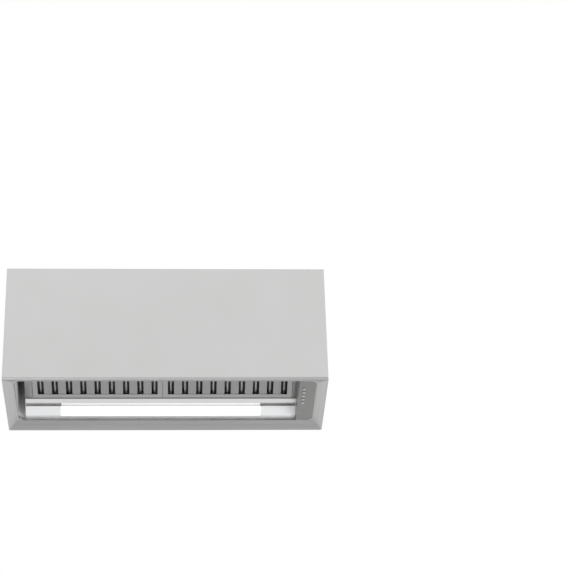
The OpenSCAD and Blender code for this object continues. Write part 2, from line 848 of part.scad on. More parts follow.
// Trough that catches the grease from the filters, lying against the light's upper wall
module grease_channel() {
    t = channel_t;
    end = [
        [-channel_at, 0], [-(channel_at + channel_end) / 2, 0], [-channel_at - t, channel_floor_l],
        [-channel_at, channel_floor_l]
    ];
    color(steel_colour) on_light() {
        block([unit_x0, -channel_end, 0], [unit_x1, -channel_at, t]);
        block([unit_x0, -channel_at - t, 0], [unit_x1, -channel_at, channel_floor_l]);
        block([unit_x0, -channel_at - channel_lip_h, channel_floor_l - t],
            [unit_x1, -channel_at, channel_floor_l]);
        along_x(unit_x0, unit_x0 + t) polygon(end);
        along_x(unit_x1 - t, unit_x1) polygon(end);
    }
}

// Tube with a flange, a stop ring for the flaps and two bores for their axle
module duct_collar() {
    color(galvanised) difference() {
        union() {
            bar_z(0, 0, collar_z, collar_z + duct_flange_t, duct_r + duct_flange_w);
            bar_z(0, 0, collar_z, hood_h + duct_h, duct_r);
        }
        bar_z(0, 0, collar_z - overrun, axle_z - flap_t / 2 - stop_t, duct_in);
        bar_z(0, 0, collar_z, axle_z, duct_in - stop_w);
        bar_z(0, 0, axle_z - flap_t / 2, hood_h + duct_h + overrun, duct_in);
        bar_x(-duct_r - overrun, duct_r + overrun, 0, axle_z, axle_r + pin_clear);
        collar_screw_places() bar_z(0, 0, collar_z - overrun, collar_z + duct_flange_t + overrun,
            screw_r + pin_clear);
    }
}

module collar_gasket() {
    color(black_plastic) difference() {
        bar_z(0, 0, hood_h, collar_z, duct_r + duct_flange_w);
        bar_z(0, 0, hood_h - overrun, collar_z + overrun, duct_in);
        collar_screw_places() bar_z(0, 0, hood_h - overrun, collar_z + overrun, screw_r + pin_clear);
    }
}

module collar_screws() {
    color(steel_colour) collar_screw_places() translate([0, 0, collar_z + duct_flange_t]) screw(screw_l);
}

// Axle that ends just inside the collar's outer face, so that a duct slides over it
module damper_axle() {
    color(steel_colour) bar_x(pin_clear - duct_r, duct_r - pin_clear, 0, axle_z, axle_r);
}

// Half-round flap on two knuckles; the other flap's knuckles lie between them
module damper_flap(s) {
    own = [for (k = knuckle_shares) s * k * flap_r];
    half = knuckle_l / 2;
    edge = axle_r + flap_gap;
    color(galvanised) difference() {
        union() {
            intersection() {
                bar_z(0, 0, axle_z - flap_t / 2, axle_z + flap_t / 2, flap_r);
                translate([0, s * (flap_r / 2 + edge), axle_z])
                    cube([2 * flap_r, flap_r, 2 * flap_t], center = true);
            }
            for (x = own) bar_x(x - half, x + half, 0, axle_z, knuckle_r);
        }
        for (x = own) translate([-x, 0, axle_z])
            cube([knuckle_l + 2 * flap_gap, 2 * (knuckle_r + flap_gap), 2 * knuckle_r], center = true);
        bar_x(-flap_r, flap_r, 0, axle_z, axle_r + pin_clear);
    }
}

module front_damper_flap() damper_flap(-1);
module rear_damper_flap() damper_flap(1);

// Open steel box on the shelf, and its lid
module power_box() {
    w = box_wall;
    z1 = shelf_top + box_h - lid_t;
    color(galvanised) difference() {
        block([box_x0, box_y0, shelf_top], [box_x1, box_y0 + box_l, z1]);
        block([box_x0 + w, box_y0 + w, shelf_top + w], [box_x1 - w, box_y0 + box_l - w, z1 + overrun]);
    }
}

module power_box_lid() {
    z = shelf_top + box_h - lid_t;
    color(galvanised) block([box_x0, box_y0, z], [box_x1, box_y0 + box_l, z + lid_t]);
}

// Terminal block in the power box, with a screw hole for each of three wires
module terminal_block() {
    color("#E9E9E1") translate([box_x0 + box_wall + terminal_gap,
        box_y0 + box_l - box_wall - terminal_gap - terminal[1], shelf_top + box_wall]) difference() {
        cube(terminal);
        for (i = [1:3]) bar_z(terminal[0] / 2, i * terminal[1] / 4, terminal[2] / 2,
            terminal[2] + overrun, post_r);
    }
}

module led_driver() {
    y1 = box_y0 - driver_gap;
    color("#D8D8D2") block([box_x1 - driver_w, y1 - driver_l, shelf_top],
        [box_x1, y1, shelf_top + driver_h]);
}

// Gland in the top panel for the supply cable, and its nut below
module cable_gland() {
    color(black_plastic) gland_place() difference() {
        union() {
            bar_z(0, 0, hood_h, hood_h + gland_h, gland_r);
            bar_z(0, 0, hood_h, hood_h + gland_h + gland_dome_h, thread_r);
            bar_z(0, 0, hood_h - thread_l, hood_h, thread_r);
            bar_z(0, 0, top_z - gland_nut_h, top_z, gland_nut_r);
        }
        bar_z(0, 0, hood_h - thread_l - overrun, hood_h + gland_h + gland_dome_h + overrun,
            gland_bore_r);
    }
}

// A round cable along straight runs, with a round bend at each turn
module cable(points) {
    last = len(points) - 2;
    way = [for (i = [0:last]) (points[i + 1] - points[i]) / norm(points[i + 1] - points[i])];
    for (i = [0:last]) {
        from = points[i] + (i > 0 ? cable_bend_r : 0) * way[i];
        to = points[i + 1] - (i < last ? cable_bend_r : 0) * way[i];
        translate(from) rotate([0, acos(way[i][2]), atan2(way[i][1], way[i][0])])
            cylinder(h = norm(to - from), r = cable_r);
        if (i < last) cable_bend(points[i + 1], way[i], way[i + 1]);
    }
}

// A quarter bend that comes into a corner along one way and leaves it along another
module cable_bend(corner, a, b) {
    c = cross(a, b);
    o = corner + cable_bend_r * (b - a);
    multmatrix([
        [-b[0], a[0], c[0], o[0]], [-b[1], a[1], c[1], o[1]], [-b[2], a[2], c[2], o[2]], [0, 0, 0, 1]
    ]) rotate_extrude(angle = 90) translate([cable_bend_r, 0]) circle(cable_r);
}

// From the driver down beside the filters and into the light
module led_cable() {
    z = shelf_top + driver_h / 2;
    driver_y = box_y0 - driver_gap;
    color(black_plastic) cable([
        [led_cable_x, driver_y, z], [led_cable_x, led_cable_y, z],
        [led_cable_x, led_cable_y, light_cable_z], [led_cable_x, light_cable_y, light_cable_z],
        [lit_x1, light_cable_y, light_cable_z]
    ]);
}

// From the power box down to the connector on the control board
module control_cable() {
    z = shelf_top + box_h / 2;
    color(black_plastic) cable([
        [control_cable_x, box_y0, z], [control_cable_x, control_cable_y, z],
        [control_cable_x, control_cable_y, board_z + board_t + connector[2]]
    ]);
}

rim_frame();
front_panel();
rear_panel();
left_side_panel();
right_side_panel();
top_panel();
corner_posts();
plenum_shelf();
left_liner();
right_liner();
front_liner();
rear_liner();
liner_rivets();
control_panel();
button_guide();
control_board();
button_switches();
off_button();
low_speed_button();
medium_speed_button();
high_speed_button();
light_button();
filter_carrier();
carrier_screws();
filter_rod();
filter_magnets();
left_filter_frame();
left_lower_baffles();
left_upper_baffles();
left_handle_clips();
left_handle();
right_filter_frame();
right_lower_baffles();
right_upper_baffles();
right_handle_clips();
right_handle();
light_housing();
light_end_caps();
light_diffuser();
light_strip();
led_board();
leds();
grease_channel();
duct_collar();
collar_gasket();
collar_screws();
damper_axle();
front_damper_flap();
rear_damper_flap();
power_box();
power_box_lid();
terminal_block();
led_driver();
cable_gland();
led_cable();
control_cable();
fixing_plates();
top_screws();
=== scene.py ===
import math

import bmesh
import bpy
from mathutils import Matrix, Vector


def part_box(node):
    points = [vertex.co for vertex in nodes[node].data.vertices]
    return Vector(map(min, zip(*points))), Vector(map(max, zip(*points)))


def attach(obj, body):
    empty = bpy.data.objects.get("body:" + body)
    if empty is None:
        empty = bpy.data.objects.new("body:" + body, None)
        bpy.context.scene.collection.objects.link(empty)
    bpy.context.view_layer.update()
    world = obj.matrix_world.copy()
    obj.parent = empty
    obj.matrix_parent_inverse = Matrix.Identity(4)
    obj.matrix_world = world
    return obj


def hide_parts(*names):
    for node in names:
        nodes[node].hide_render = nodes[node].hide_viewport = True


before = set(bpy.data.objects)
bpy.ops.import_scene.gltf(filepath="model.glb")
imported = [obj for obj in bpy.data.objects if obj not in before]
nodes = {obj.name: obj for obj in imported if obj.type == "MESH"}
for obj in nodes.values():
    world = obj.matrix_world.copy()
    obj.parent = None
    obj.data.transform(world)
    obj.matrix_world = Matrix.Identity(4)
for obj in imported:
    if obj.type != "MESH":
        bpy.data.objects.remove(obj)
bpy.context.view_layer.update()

# Camera
# It stands below the hood and in front of it, and looks up into the lit underside.
# The hood lies left of the picture's middle, so the lens is shifted a little sideways and up.
camera_place = Vector((0.0134, -4.964, -2.677))
camera_pitch = 0.5241
camera_yaw = 0.0576
camera_roll = -0.0283
camera_data = bpy.data.cameras.new("camera")
camera_data.sensor_width = 36
camera_data.lens = 124.98
camera_data.shift_x = 0.03
camera_data.shift_y = 0.1
camera = bpy.data.objects.new("camera", camera_data)
camera.matrix_world = (
    Matrix.Translation(camera_place)
    @ Matrix.Rotation(-camera_yaw, 4, "Z")
    @ Matrix.Rotation(math.pi / 2 + camera_pitch, 4, "X")
    @ Matrix.Rotation(camera_roll, 4, "Z")
)
bpy.context.scene.collection.objects.link(camera)
bpy.context.scene.camera = camera

# Painted case
# Five panels of 1 mm zinc-coated steel sheet, painted light grey: a long one in front, a long one
# at the wall, two short ones between them, and the top. Their cut edges are broken by the paint.
mm = 0.001
case_grey = "#CFCFCF"
case_grey_worn = "#C9C9C8"
case_edge = 0.35 * mm
paint_cloud = 1 / 6
paint_peel = 2 * mm
peel_depth = 0.02 * mm
weld = 0.001 * mm
same_plane = math.radians(1)
crease = math.radians(35)


def linear(code):
    """An sRGB hex colour as the linear values that a shader takes."""
    shares = [int(code[i:i + 2], 16) / 255 for i in (1, 3, 5)]
    return [s / 12.92 if s <= 0.04045 else ((s + 0.055) / 1.055) ** 2.4 for s in shares] + [1]


def add(tree, kind, inputs=None, **settings):
    """One node of a tree, with its settings; an input is a value or the socket that feeds it."""
    node = tree.nodes.new(kind)
    for name, value in settings.items():
        setattr(node, name, value)
    for key, value in (inputs or {}).items():
        if isinstance(value, bpy.types.NodeSocket):
            tree.links.new(value, node.inputs[key])
        else:
            node.inputs[key].default_value = value
    return node


def new_finish(name, **constants):
    """A material with one shader: returns it, its tree, the shader and the place on the object."""
    finish = bpy.data.materials.new(name)
    finish.use_nodes = True
    tree = finish.node_tree
    shader = tree.nodes["Principled BSDF"]
    for key, value in constants.items():
        shader.inputs[key.replace("_", " ")].default_value = value
    return finish, tree, shader, add(tree, "ShaderNodeTexCoord").outputs["Object"]


# A Mix node keeps its two numbers, its two colours and its mixed colour at these places.
number_a, number_b = 2, 3
colour_a, colour_b, colour_mixed = 6, 7, 2


def between(tree, share, low, high):
    """A colour or a number that runs from low to high as share runs from 0 to 1."""
    if isinstance(high, str):
        first = linear(low) if isinstance(low, str) else low
        ends = {"Factor": share, colour_a: first, colour_b: linear(high)}
        return add(tree, "ShaderNodeMix", ends, data_type="RGBA").outputs[colour_mixed]
    ends = {"Value": share, "To Min": low, "To Max": high}
    return add(tree, "ShaderNodeMapRange", ends).outputs[0]


def lay(tree, shader, tone, share, gloss, height, depth):
    """Gives a surface its tone, a roughness that runs with the share from the first gloss to the
    second, and a relief whose height, from 0 to 1, stands out by the depth in metres."""
    relief = add(tree, "ShaderNodeBump", {"Strength": 1, "Distance": depth, "Height": height})
    tree.links.new(tone, shader.inputs["Base Color"])
    tree.links.new(between(tree, share, *gloss), shader.inputs["Roughness"])
    tree.links.new(relief.outputs[0], shader.inputs["Normal"])


# Powder paint on steel: a flat light grey with a faint orange peel of about 2 mm, half matt.
powder_paint, tree, shader, place = new_finish("powder_paint", Specular_IOR_Level=0.4)
cloud = add(tree, "ShaderNodeTexNoise",
            {"Vector": place, "Scale": 1 / paint_cloud, "Detail": 2}).outputs[0]
peel = add(tree, "ShaderNodeTexNoise",
           {"Vector": place, "Scale": 1 / paint_peel, "Detail": 1}).outputs[0]
lay(tree, shader, between(tree, cloud, case_grey_worn, case_grey), cloud, (0.5, 0.6), peel, peel_depth)


def show(piece, body, slot, *stands_for):
    """Puts a finished piece on its body, in place of the named nodes. The slot that it is given is not
    used.
    """
    if stands_for:
        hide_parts(*stands_for)
    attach(piece, body)


def new_piece(name, mesh, *finishes):
    """A mesh as an object of the scene, with its finishes in its material slots."""
    for finish in finishes:
        mesh.materials.append(finish)
    piece = bpy.data.objects.new(name, mesh)
    bpy.context.scene.collection.objects.link(piece)
    return piece


def apply_modifiers(piece):
    """The piece with its modifiers made part of its mesh."""
    bpy.context.view_layer.update()
    seen = piece.evaluated_get(bpy.context.evaluated_depsgraph_get())
    mesh = bpy.data.meshes.new_from_object(seen)
    piece.modifiers.clear()
    piece.data = mesh


def round_edges(piece, radius, steps=2, angle=30):
    """Rounds every edge that turns by more than the angle, as a press or a file leaves it."""
    edge = piece.modifiers.new("rounded", "BEVEL")
    edge.width = radius
    edge.segments = steps
    edge.limit_method = "ANGLE"
    edge.angle_limit = math.radians(angle)
    edge.use_clamp_overlap = True


def weigh_normals(piece):
    """Lets each large face shade flat, so that only the small folds between faces look round."""
    weighing = piece.modifiers.new("weighed", "WEIGHTED_NORMAL")
    weighing.mode = "FACE_AREA"
    weighing.keep_sharp = True


def softened(node, finish, body, slot, radius, steps=2):
    """The solid of a node with its sharp edges rounded, shown in its place."""
    mesh = nodes[node].data.copy()
    mesh.materials.clear()
    work = bmesh.new()
    work.from_mesh(mesh)
    bmesh.ops.remove_doubles(work, verts=work.verts, dist=weld)
    bmesh.ops.dissolve_limit(work, angle_limit=same_plane, verts=work.verts, edges=work.edges)
    work.to_mesh(mesh)
    work.free()
    mesh.shade_smooth()
    piece = new_piece(node + "_shown", mesh, finish)
    round_edges(piece, radius, steps)
    weigh_normals(piece)
    apply_modifiers(piece)
    show(piece, body, slot, node)


for panel in ("front_panel", "rear_panel", "left_side_panel", "right_side_panel", "top_panel"):
    softened(panel, powder_paint, "hood", "painted_case", case_edge)

# Rim
# The stainless frame of the underside, pressed from one 1.2 mm sheet: a low lip under the case,
# a bevel that rises to the opening, and a polished flange up round it. It is welded at its
# corners and brushed along each side, and it holds the panels with a tab inside them.
rim_low, rim_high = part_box("rim_frame")
opening_low, opening_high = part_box("control_panel")
half_x = rim_high.x
half_y = rim_high.y
rim_sheet = 1.2 * mm
rim_rise = opening_low.z
flange_h = 11 * mm
lip_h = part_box("front_panel")[0].z
tab_h = 12 * mm
case_sheet = 1 * mm
open_x = opening_high.x
open_y = 115 * mm
opening_r = 18 * mm
rim_corner_r = 1.5 * mm
tab_fold = 0.3 * mm
lip_fold = 0.5 * mm
bevel_fold = 8 * mm
polish_from = 2.5 * mm
rim_line = 1.2 * mm
rim_band = 9 * mm
rim_band_share = 0.45
corner_steps = 10


def round_rectangle(reach_x, reach_y, radius, z):
    """The points of a rectangle with round corners, anticlockwise seen from above."""
    points = []
    for quarter, (sx, sy) in enumerate(((1, 1), (-1, 1), (-1, -1), (1, -1))):
        for step in range(corner_steps + 1):
            turn = math.pi / 2 * (quarter + step / corner_steps)
            points.append((
                sx * (reach_x - radius) + radius * math.cos(turn),
                sy * (reach_y - radius) + radius * math.sin(turn),
                z,
            ))
    return points


def joined_rings(rings, capped=False):
    """A mesh whose skin runs from ring to ring, each with as many points, and faces outwards."""
    work = bmesh.new()
    rows = [[work.verts.new(p) for p in ring] for ring in rings]
    count = len(rings[0])
    for a, b in zip(rows, rows[1:]):
        for i in range(count):
            j = (i + 1) % count
            work.faces.new((a[i], a[j], b[j], b[i]))
    if capped:
        work.faces.new(rows[0])
        work.faces.new(rows[-1])
    bmesh.ops.remove_doubles(work, verts=work.verts, dist=weld)
    bmesh.ops.recalc_face_normals(work, faces=work.faces)
    mesh = bpy.data.meshes.new("rings")
    work.to_mesh(mesh)
    work.free()
    return mesh


def bent_path(corners, reaches, steps=6):
    """Ring sizes along a folded sheet: every corner becomes a round fold that reaches as given."""
    path = [corners[0]]
    for before, corner, after, reach in zip(corners, corners[1:], corners[2:], reaches):
        a, c, b = (Vector(v) for v in (before, corner, after))
        start = c + (a - c).normalized() * reach
        end = c + (b - c).normalized() * reach
        for step in range(steps + 1):
            t = step / steps
            path.append(tuple(start * (1 - t) ** 2 + c * 2 * t * (1 - t) + end * t * t))
    return path + [corners[-1]]


# Each ring of the sheet: half its width, half its depth, the radius of its corners, its height
tab_x = half_x - case_sheet
tab_y = half_y - case_sheet
rim_rings = bent_path(
    [
        (tab_x, tab_y, rim_corner_r, lip_h + tab_h),
        (tab_x, tab_y, rim_corner_r, lip_h),
        (half_x, half_y, rim_corner_r, lip_h),
        (half_x, half_y, rim_corner_r, rim_low.z),
        (half_x - rim_sheet, half_y - rim_sheet, rim_corner_r, rim_low.z),
        (open_x, open_y, opening_r, rim_rise),
        (open_x, open_y, opening_r, rim_rise + flange_h),
    ],
    [tab_fold, tab_fold, lip_fold, lip_fold, bevel_fold],
)
mesh = joined_rings([round_rectangle(*ring) for ring in rim_rings])


def spread_across(tree, shader, way):
    """Brushing lines throw a highlight out at right angles to them: along the way given."""
    turned = add(tree, "ShaderNodeVectorTransform", {"Vector": way},
                 vector_type="VECTOR", convert_from="OBJECT", convert_to="WORLD")
    tree.links.new(turned.outputs[0], shader.inputs["Tangent"])


# Brushing lines are drawn about five times as wide as the real ones, so that they show, and 60 times
# as long as they are wide.
line_w = 0.5 * mm
line_depth = 0.012 * mm
line_stretch = {"X": (1 / 60, 1, 1), "Y": (1, 1 / 60, 1)}
line_gloss = (0.28, 0.4)
line_spread = 0.6


def brushed(name, low, high, along, tilt=0, width=line_w, gloss=line_gloss, spread=None):
    """Brushed stainless: a grey metal with fine lines along the way it was drawn under the belt,
    and wider bands of its lighter tone."""
    finish, tree, shader, place = new_finish(name, Metallic=1, Anisotropic=line_spread if spread else 0)
    if spread:
        spread_across(tree, shader, spread)
    level = add(tree, "ShaderNodeMapping", {"Vector": place, "Rotation": (tilt, 0, 0)}).outputs[0]
    drawn = add(tree, "ShaderNodeMapping", {"Vector": level, "Scale": line_stretch[along]}).outputs[0]
    lines = add(tree, "ShaderNodeTexNoise",
                {"Vector": drawn, "Scale": 1 / (2 * width), "Detail": 3, "Roughness": 0.6}).outputs[0]
    bands = add(tree, "ShaderNodeTexNoise",
                {"Vector": drawn, "Scale": 1 / (16 * width), "Detail": 2}).outputs[0]
    tone = between(tree, bands, between(tree, lines, low, high), high)
    lay(tree, shader, tone, lines, gloss, lines, line_depth)
    return finish


# Brushed stainless of the rim: its lines run along each of its four sides, up to the mitres.
rim_steel, tree, shader, place = new_finish("brushed_stainless_rim", Metallic=1, Anisotropic=line_spread)
spot = add(tree, "ShaderNodeSeparateXYZ", {"Vector": place}).outputs
x = add(tree, "ShaderNodeMath", {0: spot["X"]}, operation="ABSOLUTE").outputs[0]
y = add(tree, "ShaderNodeMath", {0: spot["Y"]}, operation="ABSOLUTE").outputs[0]
from_side = add(tree, "ShaderNodeMath", {0: half_x, 1: x}, operation="SUBTRACT").outputs[0]
from_end = add(tree, "ShaderNodeMath", {0: half_y, 1: y}, operation="SUBTRACT").outputs[0]
slant = (half_y - open_y) / (half_x - open_x)
mitre = add(tree, "ShaderNodeMath", {0: from_side, 1: slant}, operation="MULTIPLY").outputs[0]
is_side = add(tree, "ShaderNodeMath", {0: mitre, 1: from_end}, operation="LESS_THAN").outputs[0]
is_long = add(tree, "ShaderNodeMath", {0: 1, 1: is_side}, operation="SUBTRACT").outputs[0]
ways = []
for stretch in line_stretch.values():
    drawn = add(tree, "ShaderNodeMapping", {"Vector": place, "Scale": stretch}).outputs[0]
    lines = add(tree, "ShaderNodeTexNoise",
                {"Vector": drawn, "Scale": 1 / rim_line, "Detail": 3, "Roughness": 0.6}).outputs[0]
    bands = add(tree, "ShaderNodeTexNoise",
                {"Vector": drawn, "Scale": 1 / rim_band, "Detail": 2}).outputs[0]
    both = {"Factor": rim_band_share, number_a: lines, number_b: bands}
    ways.append(add(tree, "ShaderNodeMix", both, data_type="FLOAT").outputs[0])
chosen = {"Factor": is_side, number_a: ways[0], number_b: ways[1]}
drawn = add(tree, "ShaderNodeMix", chosen, data_type="FLOAT").outputs[0]
share = add(tree, "ShaderNodeMapRange", {"Value": drawn, "From Min": 0.3, "From Max": 0.7}).outputs[0]
lay(tree, shader, between(tree, share, "#A2A2A3", "#BDBDBD"), share, (0.3, 0.42), share, line_depth)
spread_across(tree, shader, add(tree, "ShaderNodeCombineXYZ", {"X": is_side, "Y": is_long}).outputs[0])


def clouded(name, low, high, patch, detail, gloss, depth):
    """A metal without lines: its tone, its gloss and its surface waver together in soft patches."""
    finish, tree, shader, place = new_finish(name, Metallic=1)
    cloud = add(tree, "ShaderNodeTexNoise",
                {"Vector": place, "Scale": 1 / patch, "Detail": detail}).outputs[0]
    lay(tree, shader, between(tree, cloud, low, high), cloud, gloss, cloud, depth)
    return finish


# Stainless polished by the die that it was drawn over: it mirrors what lies opposite, blurred and
# a little uneven.
# Its tone is much lighter than the rim's, though it is the same sheet: painted sheen over the real polish.
flange_steel = clouded("polished_stainless_and_painted_sheen", "#D6D6D6", "#E4E4E4", patch=30 * mm, detail=1,
                       gloss=(0.3, 0.42), depth=0.1 * mm)

rim = new_piece("rim", mesh, rim_steel, flange_steel)
for face in mesh.polygons:
    inside = abs(face.center.x) < open_x + mm and abs(face.center.y) < open_y + mm
    face.material_index = 1 if inside and face.center.z > rim_rise + polish_from else 0
wall = rim.modifiers.new("sheet", "SOLIDIFY")
wall.thickness = rim_sheet
wall.offset = -1
wall.use_even_offset = True
apply_modifiers(rim)
rim.data.shade_smooth()
rim.data.set_sharp_from_angle(angle=crease)
weigh_normals(rim)
apply_modifiers(rim)
show(rim, "hood", "rim_steel", "rim_frame")

# Recess walls and their rivets
# Four sheets of 1 mm coil-coated steel lap the rim's flange from outside and rise to the shelf.
# Pop rivets hold the front one, each a domed head that a broken pin leaves a dimple in.
coat_grain = 0.5 * mm
coat_depth = 0.008 * mm
coat_gloss = (0.35, 0.45)
wall_edge = 0.2 * mm
head_h = 1 * mm
pin_r = 1.6 * mm
cross_power = 6
cross_waist_share = 0.38


def fine_grained(name, low, high, grain=0.4 * mm, gloss=(0.42, 0.58), depth=0.02 * mm):
    """A smooth coat or a moulded plastic, with a fine grain that breaks up its gloss."""
    finish, tree, shader, place = new_finish(name)
    grains = add(tree, "ShaderNodeTexNoise",
                 {"Vector": place, "Scale": 1 / grain, "Detail": 3}).outputs[0]
    cloud = add(tree, "ShaderNodeTexNoise",
                {"Vector": place, "Scale": 1 / (40 * grain), "Detail": 2}).outputs[0]
    lay(tree, shader, between(tree, cloud, low, high), grains, gloss, grains, depth)
    return finish


# Coil-coated steel: factory-painted sheet, a smooth satin grey that spreads the light.
wall_coat = fine_grained("coil_coated_steel_grey", "#D6D6D5", "#DEDEDD",
                         coat_grain, coat_gloss, coat_depth)
for wall in ("front_liner", "rear_liner", "left_liner", "right_liner"):
    softened(wall, wall_coat, "hood", "painted_case", wall_edge)


def turned(profile, sides=24, recess=None):
    """A closed round piece from its profile: pairs of radius and height, from one end of its axis
    to the other. The rings from the number of the recess on have the outline of a cross."""
    rings = []
    for number, (radius, height) in enumerate(profile):
        ring = []
        for side in range(sides):
            turn = math.tau * side / sides
            reach = radius
            if recess is not None and number >= recess:
                arm = abs(math.cos(2 * turn)) ** cross_power
                reach = radius * (cross_waist_share + (1 - cross_waist_share) * arm)
            ring.append((reach * math.cos(turn), reach * math.sin(turn), height))
        rings.append(ring)
    return joined_rings(rings, capped=True)


def start_tree(name, **inputs):
    """A geometry tree with named inputs, given as kind and value: returns the tree, the sockets
    that its inputs come in by, and the identifier of each."""
    tree = bpy.data.node_groups.new(name, "GeometryNodeTree")
    keys = {}
    for key, (kind, value) in inputs.items():
        socket = tree.interface.new_socket(key, in_out="INPUT", socket_type="NodeSocket" + kind)
        if value is not None:
            socket.default_value = value
        keys[key] = socket.identifier
    tree.interface.new_socket("Made", in_out="OUTPUT", socket_type="NodeSocketGeometry")
    return tree, add(tree, "NodeGroupInput").outputs, keys


def end_tree(tree, copies, finish):
    """The copies are made real, take their finish and leave the tree."""
    real = add(tree, "GeometryNodeRealizeInstances", {"Geometry": copies}).outputs[0]
    dressed = add(tree, "GeometryNodeSetMaterial", {"Geometry": real, "Material": finish}).outputs[0]
    add(tree, "NodeGroupOutput", {0: dressed})


def grown(name, start_mesh, tree, keys, **values):
    """The piece that a tree makes of a mesh, with its inputs set to the values."""
    piece = new_piece(name, start_mesh)
    maker = piece.modifiers.new(name, "NODES")
    maker.node_group = tree
    for key, value in values.items():
        maker[keys[key]] = value
    apply_modifiers(piece)
    piece.data.shade_smooth()
    piece.data.set_sharp_from_angle(angle=crease)
    return piece


# This tree sets one piece on each of an object's points, turned by chance about the axis that the
# point carries as a vector.
set_tree, entry, set_keys = start_tree(
    "set_on_places", Places=("Geometry", None), Piece=("Object", None), Finish=("Material", None),
    Chance=("Int", 1), Turn=("Float", 0.0))
shape = add(set_tree, "GeometryNodeObjectInfo", {"Object": entry["Piece"]}).outputs["Geometry"]
axis = add(set_tree, "GeometryNodeInputNamedAttribute", {"Name": "axis"},
           data_type="FLOAT_VECTOR").outputs["Attribute"]
upright = add(set_tree, "FunctionNodeAlignRotationToVector", {"Vector": axis}, axis="Z").outputs[0]
angle = add(set_tree, "FunctionNodeRandomValue", {"Max": entry["Turn"], "Seed": entry["Chance"]},
            data_type="FLOAT").outputs["Value"]
spin = add(set_tree, "FunctionNodeAxisAngleToRotation", {"Axis": (0, 0, 1), "Angle": angle}).outputs[0]
stance = add(set_tree, "FunctionNodeRotateRotation", {"Rotation": upright, "Rotate By": spin},
             rotation_space="LOCAL").outputs[0]
placed = add(set_tree, "GeometryNodeInstanceOnPoints",
             {"Points": entry["Places"], "Instance": shape, "Rotation": stance}).outputs[0]
end_tree(set_tree, placed, entry["Finish"])


def repeated(name, shape, places, axis, finish, body, slot, *stands_for, turn=math.tau, chance=1):
    """One mesh on each place, pointing along the axis, as a single piece on one body."""
    points = bpy.data.meshes.new(name)
    points.from_pydata([tuple(p) for p in places], [], [])
    ways = points.attributes.new("axis", "FLOAT_VECTOR", "POINT")
    ways.data.foreach_set("vector", list(axis) * len(places))
    one = bpy.data.objects.new(name + "_one", shape)
    piece = grown(name, points, set_tree, set_keys, Piece=one, Finish=finish, Chance=chance, Turn=turn)
    bpy.data.objects.remove(one)
    show(piece, body, slot, *stands_for)


def parts_of(node):
    """The lowest and the highest corner of each separate solid of a node, left to right."""
    work = bmesh.new()
    work.from_mesh(nodes[node].data)
    bmesh.ops.remove_doubles(work, verts=work.verts, dist=weld)
    left = set(work.verts)
    parts = []
    while left:
        reached = [left.pop()]
        part = []
        while reached:
            point = reached.pop()
            part.append(point.co.copy())
            for edge in point.link_edges:
                other = edge.other_vert(point)
                if other in left:
                    left.remove(other)
                    reached.append(other)
        low = Vector([min(p[i] for p in part) for i in range(3)])
        high = Vector([max(p[i] for p in part) for i in range(3)])
        parts.append((low, high))
    work.free()
    return sorted(parts, key=lambda pair: (round(pair[0].x, 4), round(pair[0].y, 4)))


# Zinc-plated steel of rivets and screws: bright, fairly smooth metal with a light mottle.
bright_steel = clouded("zinc_plated_steel", "#A8A9A9", "#C9C9C8", patch=2 * mm, detail=3,
                       gloss=(0.22, 0.38), depth=0.01 * mm)

rivets = parts_of("liner_rivets")
rivet_low, rivet_high = rivets[0]
rivet_r = (rivet_high.z - rivet_low.z) / 2
rivet_l = rivet_high.y - rivet_low.y
rivet_shape = turned([
    (0.9 * rivet_r, -rivet_l), (rivet_r, 0.3 * head_h - rivet_l), (rivet_r, 0.8 * head_h - rivet_l),
    (0.6 * rivet_r, head_h - rivet_l), (pin_r, head_h - rivet_l), (pin_r, -head_h),
    (rivet_r, -head_h), (rivet_r, -0.75 * head_h), (0.85 * rivet_r, -0.35 * head_h),
    (0.6 * rivet_r, -0.08 * head_h), (0.35 * rivet_r, 0), (0.3 * rivet_r, -0.4 * head_h),
    (0.1 * rivet_r, -0.4 * head_h),
])
rivet_places = [((a.x + b.x) / 2, b.y, (a.z + b.z) / 2) for a, b in rivets]
repeated("rivets", rivet_shape, rivet_places, (0, 1, 0), bright_steel, "hood", "screw_steel",
         "liner_rivets")

# Control panel
# A pan of 1.2 mm stainless in the right end of the opening, brushed front to back, with a tall side
# towards the filters. Five holes are punched in it for the buttons, and its edges are deburred.
panel_edge = 0.4 * mm
# Its stainless has a much darker tone than the rim's, which is the same metal: painted shade.
panel_steel = brushed("brushed_stainless_panel_painted_shade", "#757574", "#868685", "Y", spread=(1, 0, 0))
softened("control_panel", panel_steel, "hood", "control_steel", panel_edge, steps=3)

# Buttons, their guide, board and switches
# Each button is a turned, satin nickel-plated ABS cap with a flange that its black guide holds.
# The board above carries a tactile switch over each, and the plug of the control cable.
cap_flange_w = 1.5 * mm
cap_flange_t = 1.5 * mm
cap_flange_round = 0.2 * mm
cap_round = 0.5 * mm
cap_dish = 0.35 * mm
cap_sides = 48
moulded_edge = 0.3 * mm
track_pitch = 2.5 * mm
track_share = 0.06
track_depth = 0.03 * mm
board_edge = 0.15 * mm

# Satin nickel on moulded ABS: a warm, even, softly shining metal without a grain.
satin_nickel = clouded("satin_nickel_on_abs", "#BDBBB7", "#C8C6C2", patch=1.5 * mm, detail=2,
                       gloss=(0.3, 0.4), depth=0.004 * mm)

